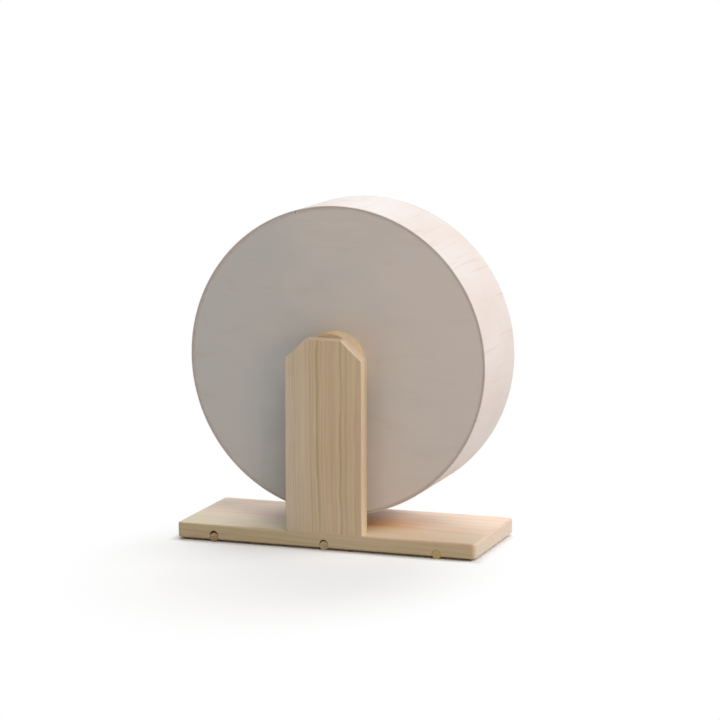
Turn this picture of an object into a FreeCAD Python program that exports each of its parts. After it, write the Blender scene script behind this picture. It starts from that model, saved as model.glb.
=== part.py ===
import FreeCAD, Part
import math
import os
import re

import Sketcher

# Rodent exercise wheel: an open wooden drum on a bolt that is fixed in the post of a small stand.
# Millimetres. The origin is on the floor under the middle of the base board.
# +X runs along the base board, +Y from the post into the drum, +Z up.

SIZES = {
    # Drum
    "wheel_diameter": 300,
    "wheel_width": 96,
    "wheel_clearance": 10.5,
    "rim_thickness": 3,
    "rim_edge_break": 0.5,
    "seam_angle": 106,
    "seam_gap": 0.8,
    "seam_strip_width": 30,
    "liner_thickness": 2,
    "liner_end_gap": 0.3,
    "glue_line": 0.1,
    "back_disc_thickness": 6,
    "disc_edge_break": 0.4,
    "front_ring_thickness": 6,
    "front_ring_width": 24,
    "front_ring_edge_radius": 2,
    # Hub
    "hub_diameter": 60,
    "hub_thickness": 18,
    "hub_edge_break": 1,
    "hub_bore": 18,
    "inner_hub_thickness": 10,
    "hub_screw_inset": 5,
    "hub_screw_diameter": 4,
    "hub_screw_head": 7.6,
    "hub_screw_length": 25,
    "cap_overlap": 1,
    "cap_wall": 7,
    "cap_top": 4,
    "cap_head_room": 1.5,
    "cap_edge_radius": 3,
    # Ball bearings
    "bearing_bore": 8,
    "bearing_outer": 22,
    "bearing_width": 7,
    "ball_diameter": 3.97,
    "ball_play": 0.03,
    "race_land": 1.45,
    "shield_recess": 0.2,
    "shield_thickness": 0.3,
    "shield_gap": 0.3,
    "shield_seat": 0.6,
    "cage_depth": 1.2,
    "cage_play": 0.15,
    "cage_web": 0.45,
    "cage_finger": 1.2,
    # Axle
    "axle_fit": 0.05,
    "bolt_head_diameter": 14,
    "bolt_head_height": 4.4,
    "bolt_head_crown": 9,
    "bolt_head_wall": 1.8,
    "bolt_socket": 5,
    "bolt_socket_depth": 2.4,
    "bolt_tip_break": 1,
    "bolt_tip_room": 1,
    "bolt_washer_thickness": 1.5,
    "post_washer_diameter": 24,
    "post_washer_thickness": 1.5,
    "race_shim_thickness": 1.5,
    "shim_edge": 0.1,
    "insert_diameter": 12,
    "insert_length": 11,
    "insert_barb": 0.7,
    "insert_end_room": 0.5,
    # Stand
    "base_length": 304,
    "base_depth": 124,
    "base_thickness": 15,
    "base_edge_radius": 2,
    "base_corner_radius": 4.5,
    "post_width": 78,
    "post_thickness": 15,
    "post_above_axle": 26.5,
    "post_chamfer_width": 21,
    "post_chamfer_height": 19,
    "post_edge_radius": 1.2,
    "skid_diameter": 9,
    "skid_flat": 0.3,
    "skid_standoff": 2,
    "skid_inset": 38.5,
    "skid_end_recess": 0.5,
    "left_slot_head_room": 2.2,
    "middle_slot_head_room": 1.5,
    "right_slot_head_room": 0.15,
    "wood_fit": 0.05,
    "post_screw_inset": 13,
    "post_screw_diameter": 4.5,
    "post_screw_head": 8.6,
    "post_screw_length": 60,
    "post_dowel_inset": 26,
    "post_dowel_diameter": 8,
    "post_dowel_length": 30,
    "post_dowel_edge_break": 0.8,
    "dowel_depth_in_base": 10,
    "hole_end_room": 1,
    # Screw points and drives
    "screw_tip": 5,
    "cross_length": 4,
    "cross_width": 1.2,
    "cross_depth": 1.6,
}

HUB_SCREW_COUNT = 4
BALL_COUNT = 7
BARB_COUNT = 4

# Places and sizes that follow from the driving ones; each may use the ones above it.
PLACES = {
    "base_top": "skid_standoff + base_thickness",
    "skid_centre": "skid_diameter / 2 - skid_flat",
    "skid_spread": "base_length / 2 - skid_inset",
    "axle_height": "base_top + wheel_clearance + wheel_diameter / 2",
    "post_height": "axle_height + post_above_axle - base_top",
    "post_front": "-base_depth / 2",
    "post_middle": "post_front + post_thickness / 2",
    "post_back": "post_front + post_thickness",
    "screw_offset": "post_width / 2 - post_screw_inset",
    "dowel_offset": "post_width / 2 - post_dowel_inset",
    "hub_face": "post_back + post_washer_thickness + race_shim_thickness",
    "drum_back": "hub_face + hub_thickness",
    "drum_floor": "drum_back + back_disc_thickness",
    "drum_front": "drum_back + wheel_width",
    "ring_back": "drum_front - front_ring_thickness",
    "hub_inner_face": "drum_floor + inner_hub_thickness",
    "drum_bearing_face": "hub_inner_face - bearing_width",
    "spacer_start": "hub_face + bearing_width",
    "spacer_length": "drum_bearing_face - spacer_start",
    "bolt_seat": "hub_inner_face + bolt_washer_thickness",
    "bolt_length": "bolt_seat - post_back + insert_length - bolt_tip_room",
    "bolt_radius": "bearing_bore / 2 - axle_fit",
    "rim_inner": "wheel_diameter / 2 - rim_thickness",
    "disc_radius": "rim_inner - glue_line",
    "ring_inner": "disc_radius - front_ring_width",
    "liner_outer": "rim_inner - glue_line",
    "liner_width": "ring_back - drum_floor - 2 * glue_line",
    "seam_gap_turn": "seam_gap / (wheel_diameter / 2) * 180 / pi",
    "strip_turn": "seam_strip_width / rim_inner * 180 / pi",
    "liner_gap_turn": "liner_end_gap / rim_inner * 180 / pi",
    "bearing_pocket": "bearing_outer / 2 + axle_fit",
    "hub_screw_circle": "hub_diameter / 2 - hub_screw_inset",
    "ball_circle": "(bearing_bore + bearing_outer) / 4",
    "inner_land": "ball_circle - race_land",
    "outer_land": "ball_circle + race_land",
    "shield_outer": "outer_land + shield_seat",
    "shim_radius": "inner_land - shim_edge",
    "cap_cavity": "bearing_outer / 2 + cap_overlap",
    "cap_radius": "cap_cavity + cap_wall",
    "cap_depth": "bolt_washer_thickness + bolt_head_height + cap_head_room",
    "cap_height": "cap_depth + cap_top",
}

# The three skids and where they lie along the base board.
SKIDS = {"left": "-skid_spread", "middle": "0", "right": "skid_spread"}

TINY = 1e-6

doc = FreeCAD.newDocument("exercise_wheel")
sheet = doc.addObject("Spreadsheet::Sheet", "Sizes")
for row, (size_name, size_value) in enumerate(SIZES.items(), start=1):
    sheet.set(f"A{row}", size_name)
    sheet.set(f"B{row}", str(size_value))
    sheet.setAlias(f"B{row}", size_name)
doc.recompute()

subparts = []


def bound(text):
    """The expression for text, with each size read from its cell and each place worked out from sizes."""

    def spell_out(match):
        word = match.group(0)
        if word in PLACES:
            return f"({bound(PLACES[word])})"
        return f"Sizes.{word}" if word in SIZES else word

    return re.sub(r"[a-z_]+", spell_out, text)


def number(text):
    """The present value of an expression, in millimetres or degrees."""
    value = sheet.evalExpression(bound(text))
    return float(getattr(value, "Value", value))


def keep(piece):
    """List a finished sub-part for export."""
    subparts.append(piece)
    return piece


def place(piece, x="0", y="0", z="0", axis=(1, 0, 0), angle=0):
    """Turn a piece about an axis through its own origin and bind its place to the sizes."""
    turn = FreeCAD.Rotation(FreeCAD.Vector(*axis), angle)
    piece.Placement = FreeCAD.Placement(FreeCAD.Vector(number(x), number(y), number(z)), turn)
    for letter, text in zip("xyz", (x, y, z)):
        piece.setExpression(f"Placement.Base.{letter}", bound(text))


def new_body(label, **where):
    body = doc.addObject("PartDesign::Body", label)
    body.Label = label
    place(body, **where)
    return body


def origin_feature(body, role):
    return next(feature for feature in body.Origin.OriginFeatures if feature.Role == role)


def new_sketch(body, name, plane, lift):
    """An empty sketch on one of the body's own planes, lifted along the plane's normal."""
    sketch = body.newObject("Sketcher::SketchObject", name)
    sketch.AttachmentSupport = [(origin_feature(body, plane), "")]
    sketch.MapMode = "FlatFace"
    sketch.setExpression("AttachmentOffset.Base.z", bound(lift))
    return sketch


def pin_point(sketch, geometry, point, x, y):
    """Hold one point of a sketch at a bound x and y."""
    # A sketch numbers its level axis -1, which starts at the origin, and its upright axis -2.
    for kind, text, axis in (("DistanceX", x, -2), ("DistanceY", y, -1)):
        if abs(number(text)) < TINY:
            sketch.addConstraint(Sketcher.Constraint("PointOnObject", geometry, point, axis))
            continue
        rule = Sketcher.Constraint(kind, -1, 1, geometry, point, number(text))
        index = sketch.addConstraint(rule)
        sketch.setExpression(f"Constraints[{index}]", bound(text))


def draw_outline(sketch, points):
    """A closed run of straight lines through points given as pairs of expressions."""
    spots = [FreeCAD.Vector(number(x), number(y), 0) for x, y in points]
    first = sketch.GeometryCount
    count = len(points)
    for here, there in zip(spots, spots[1:] + spots[:1]):
        sketch.addGeometry(Part.LineSegment(here, there))
    for step in range(count):
        ends = (first + step, 2, first + (step + 1) % count, 1)
        sketch.addConstraint(Sketcher.Constraint("Coincident", *ends))
    for step, (x, y) in enumerate(points):
        pin_point(sketch, first + step, 1, x, y)


def outline(body, name, points, plane="XY_Plane", lift="0"):
    sketch = new_sketch(body, name, plane, lift)
    draw_outline(sketch, points)
    return sketch


def circles(body, name, centres, radius, plane="XY_Plane", lift="0"):
    """A sketch of equal circles."""
    sketch = new_sketch(body, name, plane, lift)
    for x, y in centres:
        spot = FreeCAD.Vector(number(x), number(y), 0)
        ring = sketch.addGeometry(Part.Circle(spot, FreeCAD.Vector(0, 0, 1), number(radius)))
        index = sketch.addConstraint(Sketcher.Constraint("Radius", ring, number(radius)))
        sketch.setExpression(f"Constraints[{index}]", bound(radius))
        pin_point(sketch, ring, 3, x, y)
    return sketch


def pad(body, sketch, length, backwards=False):
    feature = body.newObject("PartDesign::Pad", f"{sketch.Name}_pad")
    feature.Profile = sketch
    feature.setExpression("Length", bound(length))
    feature.Reversed = backwards
    return feature


def expect_cut(body, feature, volume_before):
    """Stop if a cutting feature took nothing away."""
    doc.recompute()
    if not body.Shape.Volume < volume_before - TINY:
        raise ValueError(f"{feature.Name} cuts nothing from {body.Label}")
    return feature


def pocket(body, sketch, depth, backwards=False):
    doc.recompute()
    before = body.Shape.Volume
    feature = body.newObject("PartDesign::Pocket", f"{sketch.Name}_cut")
    feature.Profile = sketch
    feature.setExpression("Length", bound(depth))
    feature.Reversed = backwards
    return expect_cut(body, feature, before)


def soften(body, name, radius, wanted):
    """Round the edges of the body's present shape that wanted accepts."""
    doc.recompute()
    base = body.Tip
    edges = [f"Edge{n}" for n, edge in enumerate(base.Shape.Edges, start=1) if wanted(edge)]
    feature = body.newObject("PartDesign::Fillet", name)
    feature.Base = (base, edges)
    feature.setExpression("Radius", bound(radius))
    doc.recompute()


def round_hole(body, name, axis_x, profile, plane="XY_Plane", lift="0"):
    """A turned hole: profile gives pairs of radius from the hole's axis and place along it."""
    doc.recompute()
    before = body.Shape.Volume
    sketch = new_sketch(body, name, plane, lift)
    draw_outline(sketch, [(f"{axis_x} + {radius}", along) for radius, along in profile])
    bottom, top = profile[0][1], profile[-1][1]
    ends = [FreeCAD.Vector(number(axis_x), number(along), 0) for along in (bottom, top)]
    line = sketch.addGeometry(Part.LineSegment(*ends), True)
    pin_point(sketch, line, 1, axis_x, bottom)
    pin_point(sketch, line, 2, axis_x, top)
    feature = body.newObject("PartDesign::Groove", f"{name}_cut")
    feature.Profile = sketch
    feature.ReferenceAxis = (sketch, ["Axis0"])
    feature.Angle = 360
    return expect_cut(body, feature, before)


def repeat_round_axle(body, feature, count):
    """Repeat a feature evenly round the body's own Y axis."""
    pattern = body.newObject("PartDesign::PolarPattern", f"{feature.Name}_ring")
    pattern.Originals = [feature]
    pattern.Axis = (origin_feature(body, "Y_Axis"), [""])
    pattern.Angle = 360
    pattern.Occurrences = count
    body.Tip = pattern
    doc.recompute()


def mirror_across_middle(body, feature):
    """Repeat a feature on the other side of the body's own YZ plane."""
    pattern = body.newObject("PartDesign::Mirrored", f"{feature.Name}_pair")
    pattern.Originals = [feature]
    pattern.MirrorPlane = (origin_feature(body, "YZ_Plane"), [""])
    body.Tip = pattern
    doc.recompute()


def turned(label, profile, sweep="360", **where):
    """A body turned about its own Y axis; profile gives pairs of radius and place along that axis."""
    body = new_body(label, **where)
    sketch = outline(body, f"{label}_profile", profile)
    feature = body.newObject("PartDesign::Revolution", f"{label}_turn")
    feature.Profile = sketch
    feature.ReferenceAxis = (sketch, ["V_Axis"])
    feature.setExpression("Angle", bound(sweep))
    return body


def plain_ring(label, inner, outer, thickness, **where):
    """A flat ring or tube whose first face is at its own origin."""
    corners = [(inner, "0"), (outer, "0"), (outer, thickness), (inner, thickness)]
    return turned(label, corners, **where)


def group(label, members):
    """Identical separate pieces under one name."""
    bundle = doc.addObject("Part::Compound", label)
    bundle.Label = label
    bundle.Links = members
    return bundle


def cut(label, base, tool):
    result = doc.addObject("Part::Cut", label)
    result.Label = label
    result.Base = base
    result.Tool = tool
    return result


def draw_slot(sketch, middle, centre, radius, bottom):
    """A slot with a half-round top: an arc, its two sides and a straight bottom edge."""
    x, y, reach, low = number(middle), number(centre), number(radius), number(bottom)
    circle = Part.Circle(FreeCAD.Vector(x, y, 0), FreeCAD.Vector(0, 0, 1), reach)
    arc = sketch.addGeometry(Part.ArcOfCircle(circle, 0, math.pi))
    corners = [(x - reach, y), (x - reach, low), (x + reach, low), (x + reach, y)]
    spots = [FreeCAD.Vector(across, up, 0) for across, up in corners]
    left, floor, right = [sketch.addGeometry(Part.LineSegment(*pair)) for pair in zip(spots, spots[1:])]
    for rule in (
        ("Coincident", arc, 2, left, 1),
        ("Coincident", left, 2, floor, 1),
        ("Coincident", floor, 2, right, 1),
        ("Coincident", right, 2, arc, 1),
        ("Vertical", left),
        ("Vertical", right),
        ("Horizontal", floor),
        ("Horizontal", arc, 3, arc, 1),
        ("Horizontal", arc, 3, arc, 2),
    ):
        sketch.addConstraint(Sketcher.Constraint(*rule))
    size = sketch.addConstraint(Sketcher.Constraint("Radius", arc, reach))
    sketch.setExpression(f"Constraints[{size}]", bound(radius))
    depth = sketch.addConstraint(Sketcher.Constraint("DistanceY", -1, 1, floor, 1, low))
    sketch.setExpression(f"Constraints[{depth}]", bound(bottom))
    pin_point(sketch, arc, 3, middle, centre)


def make_base_board():
    """Board with softened edges, slots for the skids underneath and holes for the post's fixings."""
    board = new_body("base_board", z="skid_standoff")
    side, end = "base_length / 2", "base_depth / 2"
    corners = [(f"-{side}", f"-{end}"), (side, f"-{end}"), (side, end), (f"-{side}", end)]
    pad(board, outline(board, "board_plan", corners), "base_thickness")
    soften(board, "board_corners", "base_corner_radius", lambda edge: edge.BoundBox.ZLength > TINY)
    soften(board, "board_edges", "base_edge_radius", lambda edge: edge.BoundBox.ZLength < TINY)

    # Under the post the front edge stays square, because the two boards were sanded flush together.
    reach = "(post_width / 2 - post_edge_radius)"
    low = "base_thickness - base_edge_radius"
    land = [(f"-{reach}", low), (reach, low), (reach, "base_thickness"), (f"-{reach}", "base_thickness")]
    sketch = outline(board, "post_land", land, plane="XZ_Plane", lift="base_depth / 2")
    pad(board, sketch, "base_edge_radius", backwards=True)

    slots = new_sketch(board, "skid_slots", "XZ_Plane", "base_depth / 2")
    for name, middle in SKIDS.items():
        centre = f"skid_centre - skid_standoff + {name}_slot_head_room"
        draw_slot(slots, middle, centre, "skid_diameter / 2 + wood_fit", "-skid_standoff")
    pocket(board, slots, "base_depth")

    spots = [("-dowel_offset", "post_middle"), ("dowel_offset", "post_middle")]
    bores = circles(board, "dowel_bores", spots, "post_dowel_diameter / 2 + wood_fit", lift="base_thickness")
    pocket(board, bores, "dowel_depth_in_base + hole_end_room")

    head = "post_screw_head / 2 + wood_fit"
    shank = "post_screw_diameter / 2 + wood_fit"
    taper = "(post_screw_head - post_screw_diameter) / 2"
    profile = [("0", "0"), (head, "0"), (shank, taper), (shank, "base_thickness"), ("0", "base_thickness")]
    bore = round_hole(board, "screw_bore", "screw_offset", profile, plane="XZ_Plane", lift="-post_middle")
    mirror_across_middle(board, bore)
    return keep(board)


def make_post():
    """Upright with clipped top corners, bored from below for its fixings and from behind for the axle."""
    post = new_body("post", y="post_front", z="base_top")
    side = "post_width / 2"
    crown = "(post_width / 2 - post_chamfer_width)"
    shoulder = "post_height - post_chamfer_height"
    corners = [
        (f"-{side}", "0"),
        (side, "0"),
        (side, shoulder),
        (crown, "post_height"),
        (f"-{crown}", "post_height"),
        (f"-{side}", shoulder),
    ]
    pad(post, outline(post, "post_face", corners, plane="XZ_Plane"), "post_thickness", backwards=True)
    soften(post, "post_edges", "post_edge_radius", lambda edge: edge.BoundBox.ZMax > TINY)

    height = "axle_height - base_top"
    hole = circles(
        post, "insert_bore", [("0", height)], "insert_diameter / 2 + wood_fit", "XZ_Plane", "-post_thickness"
    )
    pocket(post, hole, "insert_length + insert_end_room", backwards=True)

    depth = "post_thickness / 2"
    spots = [("-dowel_offset", depth), ("dowel_offset", depth)]
    bores = circles(post, "dowel_bores", spots, "post_dowel_diameter / 2 + wood_fit")
    pocket(post, bores, "post_dowel_length - dowel_depth_in_base + hole_end_room", backwards=True)

    spots = [("-screw_offset", depth), ("screw_offset", depth)]
    bores = circles(post, "screw_bores", spots, "post_screw_diameter / 2 + wood_fit")
    pocket(post, bores, "post_screw_length - base_thickness + hole_end_room", backwards=True)
    return keep(post)


def make_skids():
    """Three dowels lying front to back under the base, planed flat where they meet the floor."""
    for name, middle in SKIDS.items():
        rod = doc.addObject("Part::Cylinder", f"skid_rod_{name}")
        rod.setExpression("Radius", bound("skid_diameter / 2"))
        rod.setExpression("Height", bound("base_depth - 2 * skid_end_recess"))
        place(rod, x=middle, y="post_front + skid_end_recess", z="skid_centre", angle=-90)
        floor = doc.addObject("Part::Box", f"skid_floor_{name}")
        floor.setExpression("Length", bound("skid_diameter"))
        floor.setExpression("Width", bound("base_depth"))
        floor.setExpression("Height", bound("skid_diameter"))
        place(floor, x=f"{middle} - skid_diameter / 2", y="post_front", z="-skid_diameter")
        keep(cut(f"skid_dowel_{name}", rod, floor))


def wood_screw(label, kind, **where):
    """A countersunk cross-head screw, its head's flat face at its own origin and its point towards -Y."""
    head, shank = f"{kind}_head / 2", f"{kind}_diameter / 2"
    taper = f"-({kind}_head - {kind}_diameter) / 2"
    point = f"-{kind}_length"
    profile = [("0", "0"), (head, "0"), (shank, taper), (shank, f"{point} + screw_tip"), ("0", point)]
    screw = turned(label, profile, **where)
    arm, half = "cross_length / 2", "cross_width / 2"
    quarter = [(half, half), (half, arm), (f"-{half}", arm)]
    cross = []
    for _ in range(4):
        cross += quarter
        quarter = [(f"-({y})", x) for x, y in quarter]
    drive = outline(screw, f"{label}_cross", cross, plane="XZ_Plane")
    pocket(screw, drive, "cross_depth", backwards=True)
    return screw


def make_post_fixings():
    """Two screws from under the base into the post, and two wooden dowels that keep the post square."""
    screws = []
    dowels = []
    radius = "post_dowel_diameter / 2"
    inset = f"{radius} - post_dowel_edge_break"
    profile = [
        ("0", "0"),
        (inset, "0"),
        (radius, "post_dowel_edge_break"),
        (radius, "post_dowel_length - post_dowel_edge_break"),
        (inset, "post_dowel_length"),
        ("0", "post_dowel_length"),
    ]
    for name, sign in (("left", "-"), ("right", "")):
        spot = {"x": f"{sign}screw_offset", "y": "post_middle", "z": "skid_standoff", "angle": -90}
        screws.append(wood_screw(f"post_screw_{name}", "post_screw", **spot))
        spot = {"x": f"{sign}dowel_offset", "y": "post_middle", "z": "base_top - dowel_depth_in_base"}
        dowels.append(turned(f"post_dowel_{name}", profile, angle=90, **spot))
    keep(group("post_screws", screws))
    keep(group("post_dowels", dowels))


def make_axle():
    """The bolt, the threaded insert that holds it in the post, and the rings stacked on it."""
    core, barb = "insert_diameter / 2 - insert_barb", "insert_diameter / 2"
    bore = "bearing_bore / 2"
    profile = [(bore, "0")]
    for step in range(BARB_COUNT):
        profile.append((barb, f"-insert_length * {step} / {BARB_COUNT}"))
        profile.append((core, f"-insert_length * {step + 1} / {BARB_COUNT}"))
    profile.append((bore, "-insert_length"))
    keep(turned("axle_insert", profile, y="post_back", z="axle_height"))

    profile = [
        ("0", "bolt_head_height"),
        ("bolt_head_crown / 2", "bolt_head_height"),
        ("bolt_head_diameter / 2", "bolt_head_wall"),
        ("bolt_head_diameter / 2", "0"),
        ("bolt_radius", "0"),
        ("bolt_radius", "bolt_tip_break - bolt_length"),
        ("bolt_radius - bolt_tip_break", "-bolt_length"),
        ("0", "-bolt_length"),
    ]
    bolt = turned("axle_bolt", profile, y="bolt_seat", z="axle_height")
    corner = "bolt_socket / sqrt(3)"
    hexagon = [(f"{corner} * cos({turn} deg)", f"{corner} * sin({turn} deg)") for turn in range(0, 360, 60)]
    socket = outline(bolt, "bolt_hexagon", hexagon, plane="XZ_Plane", lift="-bolt_head_height")
    pocket(bolt, socket, "bolt_socket_depth", backwards=True)
    keep(bolt)

    for label, radius, thickness, start in (
        ("post_washer", "post_washer_diameter / 2", "post_washer_thickness", "post_back"),
        ("race_shim", "shim_radius", "race_shim_thickness", "hub_face - race_shim_thickness"),
        ("bearing_spacer", "shim_radius", "spacer_length", "spacer_start"),
        ("bolt_washer", "shim_radius", "bolt_washer_thickness", "hub_inner_face"),
    ):
        keep(plain_ring(label, "bearing_bore / 2", radius, thickness, y=start, z="axle_height"))


def make_bearing(name, face):
    """One ball bearing: two races, balls, crown cage and two shields; face is its side nearer the post."""
    middle = f"{face} + bearing_width / 2"
    on_axle = {"y": face, "z": "axle_height"}
    groove = doc.addObject("Part::Torus", f"{name}_groove")
    groove.setExpression("Radius1", bound("ball_circle"))
    groove.setExpression("Radius2", bound("ball_diameter / 2 + ball_play"))
    place(groove, y=middle, z="axle_height", angle=90)

    step = "shield_recess + shield_thickness"
    far_step = f"bearing_width - ({step})"
    profile = [
        ("shield_outer", "0"),
        ("bearing_outer / 2", "0"),
        ("bearing_outer / 2", "bearing_width"),
        ("shield_outer", "bearing_width"),
        ("shield_outer", far_step),
        ("outer_land", far_step),
        ("outer_land", step),
        ("shield_outer", step),
    ]
    keep(cut(f"{name}_outer_race", turned(f"{name}_outer_blank", profile, **on_axle), groove))
    blank = plain_ring(f"{name}_inner_blank", "bearing_bore / 2", "inner_land", "bearing_width", **on_axle)
    keep(cut(f"{name}_inner_race", blank, groove))

    shields = []
    for side, start in (("near", "shield_recess"), ("far", far_step)):
        spot = {"y": f"{face} + {start}", "z": "axle_height"}
        size = ("inner_land + shield_gap", "shield_outer - axle_fit", "shield_thickness")
        shields.append(plain_ring(f"{name}_shield_{side}", *size, **spot))
    keep(group(f"{name}_shields", shields))

    balls = []
    rooms = []
    for index in range(BALL_COUNT):
        degrees = 360 * index / BALL_COUNT
        across, up = f"cos({degrees} deg)", f"sin({degrees} deg)"
        ball = doc.addObject("Part::Sphere", f"{name}_ball_{index}")
        ball.setExpression("Radius", bound("ball_diameter / 2"))
        place(ball, x=f"ball_circle * {across}", y=middle, z=f"axle_height + ball_circle * {up}")
        balls.append(ball)
        # The cage's rooms for the balls are bored straight out from the axle.
        room = doc.addObject("Part::Cylinder", f"{name}_room_{index}")
        room.setExpression("Radius", bound("ball_diameter / 2 + cage_play"))
        room.setExpression("Height", bound("2 * cage_depth"))
        start = "(ball_circle - cage_depth)"
        spot = {"x": f"{start} * {across}", "y": middle, "z": f"axle_height + {start} * {up}"}
        place(room, axis=(0, 1, 0), angle=90 - degrees, **spot)
        rooms.append(room)
    keep(group(f"{name}_balls", balls))

    back = "ball_diameter / 2 + cage_play + cage_web"
    size = ("ball_circle - cage_depth / 2", "ball_circle + cage_depth / 2", f"{back} + cage_finger")
    ring = plain_ring(f"{name}_cage_ring", *size, y=f"{middle} - ({back})", z="axle_height")
    keep(cut(f"{name}_cage", ring, group(f"{name}_ball_rooms", rooms)))


def make_hub():
    """The thick block outside the drum, the disc inside it, the screws between them and the cap."""
    axis = "hub_screw_circle"
    shank = "hub_screw_diameter / 2 + wood_fit"
    block = turned(
        "hub_block",
        [
            ("bearing_pocket", "0"),
            ("hub_diameter / 2 - hub_edge_break", "0"),
            ("hub_diameter / 2", "hub_edge_break"),
            ("hub_diameter / 2", "hub_thickness"),
            ("hub_bore / 2", "hub_thickness"),
            ("hub_bore / 2", "bearing_width"),
            ("bearing_pocket", "bearing_width"),
        ],
        y="hub_face",
        z="axle_height",
    )
    bite = "hub_screw_length - inner_hub_thickness - back_disc_thickness + hole_end_room"
    bottom = f"hub_thickness - ({bite})"
    profile = [("0", bottom), (shank, bottom), (shank, "hub_thickness"), ("0", "hub_thickness")]
    repeat_round_axle(block, round_hole(block, "pilot_hole", axis, profile), HUB_SCREW_COUNT)
    keep(block)

    depth = "inner_hub_thickness"
    disc = turned(
        "inner_hub_disc",
        [
            ("hub_bore / 2", "0"),
            ("hub_diameter / 2", "0"),
            ("hub_diameter / 2", f"{depth} - hub_edge_break"),
            ("hub_diameter / 2 - hub_edge_break", depth),
            ("bearing_pocket", depth),
            ("bearing_pocket", f"{depth} - bearing_width"),
            ("hub_bore / 2", f"{depth} - bearing_width"),
        ],
        y="drum_floor",
        z="axle_height",
    )
    taper = f"{depth} - (hub_screw_head - hub_screw_diameter) / 2"
    head = "hub_screw_head / 2 + wood_fit"
    profile = [("0", "0"), (shank, "0"), (shank, taper), (head, depth), ("0", depth)]
    repeat_round_axle(disc, round_hole(disc, "sunk_hole", axis, profile), HUB_SCREW_COUNT)
    keep(disc)

    screws = []
    for index in range(HUB_SCREW_COUNT):
        degrees = 360 * index / HUB_SCREW_COUNT
        across, up = f"{axis} * cos({degrees} deg)", f"axle_height + {axis} * sin({degrees} deg)"
        screws.append(wood_screw(f"hub_screw_{index}", "hub_screw", x=across, y="hub_inner_face", z=up))
    keep(group("hub_screws", screws))

    cap = turned(
        "hub_cap",
        [
            ("cap_cavity", "0"),
            ("cap_radius", "0"),
            ("cap_radius", "cap_height"),
            ("0", "cap_height"),
            ("0", "cap_depth"),
            ("cap_cavity", "cap_depth"),
        ],
        y="hub_inner_face",
        z="axle_height",
    )
    crown = number("cap_height")
    soften(cap, "cap_edge", "cap_edge_radius", lambda edge: edge.BoundBox.YMin > crown - TINY)
    keep(cap)


def make_drum():
    """Back disc, bent rim with one seam, the strip behind the seam, cork running strip and front ring."""
    disc = turned(
        "back_disc",
        [
            ("hub_bore / 2", "0"),
            ("disc_radius - disc_edge_break", "0"),
            ("disc_radius", "disc_edge_break"),
            ("disc_radius", "back_disc_thickness"),
            ("hub_bore / 2", "back_disc_thickness"),
        ],
        y="drum_back",
        z="axle_height",
    )
    shank = "hub_screw_diameter / 2 + wood_fit"
    top = "back_disc_thickness"
    profile = [("0", "0"), (shank, "0"), (shank, top), ("0", top)]
    hole = round_hole(disc, "screw_hole", "hub_screw_circle", profile)
    repeat_round_axle(disc, hole, HUB_SCREW_COUNT)
    keep(disc)

    ring = turned(
        "front_ring",
        [
            ("ring_inner", "0"),
            ("disc_radius", "0"),
            ("disc_radius", "front_ring_thickness - disc_edge_break"),
            ("disc_radius - disc_edge_break", "front_ring_thickness"),
            ("ring_inner", "front_ring_thickness"),
        ],
        y="ring_back",
        z="axle_height",
    )
    widest = number("ring_inner") + TINY
    soften(
        ring,
        "ring_mouth",
        "front_ring_edge_radius",
        lambda edge: edge.BoundBox.XMax < widest and edge.BoundBox.XLength > widest,
    )
    keep(ring)

    rim_profile = [
        ("rim_inner", "0"),
        ("wheel_diameter / 2 - rim_edge_break", "0"),
        ("wheel_diameter / 2", "rim_edge_break"),
        ("wheel_diameter / 2", "wheel_width - rim_edge_break"),
        ("wheel_diameter / 2 - rim_edge_break", "wheel_width"),
        ("rim_inner", "wheel_width"),
    ]
    inner = "liner_outer - liner_thickness"
    band = [(inner, "0"), ("liner_outer", "0"), ("liner_outer", "liner_width"), (inner, "liner_width")]
    lining = "drum_floor + glue_line"
    for label, profile, start, sweep, turn in (
        ("rim", rim_profile, "drum_back", "360 - seam_gap_turn", "seam_angle - seam_gap_turn / 2"),
        ("rim_seam_strip", band, lining, "strip_turn", "seam_angle + strip_turn / 2"),
        (
            "cork_liner",
            band,
            lining,
            "360 - strip_turn - 2 * liner_gap_turn",
            "seam_angle - strip_turn / 2 - liner_gap_turn",
        ),
    ):
        where = {"y": start, "z": "axle_height", "axis": (0, -1, 0), "angle": number(turn)}
        piece = turned(label, profile, sweep, **where)
        piece.setExpression("Placement.Rotation.Angle", bound(turn))
        keep(piece)


def check_document():
    """Stop unless every object was worked out and every sub-part is a valid solid shape."""
    doc.recompute()
    for thing in doc.Objects:
        if "Invalid" in thing.State or "Error" in thing.State:
            raise ValueError(f"{thing.Label} failed: {thing.State}")
    for piece in subparts:
        if piece.Shape.isNull() or not piece.Shape.isValid() or not piece.Shape.Solids:
            raise ValueError(f"{piece.Label} has no valid solid")


def export_subparts():
    os.makedirs("parts", exist_ok=True)
    for piece in subparts:
        piece.Shape.exportStep(f"parts/{piece.Label}.step")
        print(f"{piece.Label}: {len(piece.Shape.Solids)} solids, {piece.Shape.Volume:.1f} mm3")


make_base_board()
make_post()
make_skids()
make_post_fixings()
make_axle()
make_bearing("post_bearing", "hub_face")
make_bearing("drum_bearing", "drum_bearing_face")
make_hub()
make_drum()
check_document()
export_subparts()
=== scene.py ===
import logging
import math
from contextlib import contextmanager
from dataclasses import dataclass, field
from enum import Enum
from typing import Any, Callable, Iterator, Optional, Sequence

import bmesh
import bpy
from mathutils import Matrix, Vector


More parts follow.
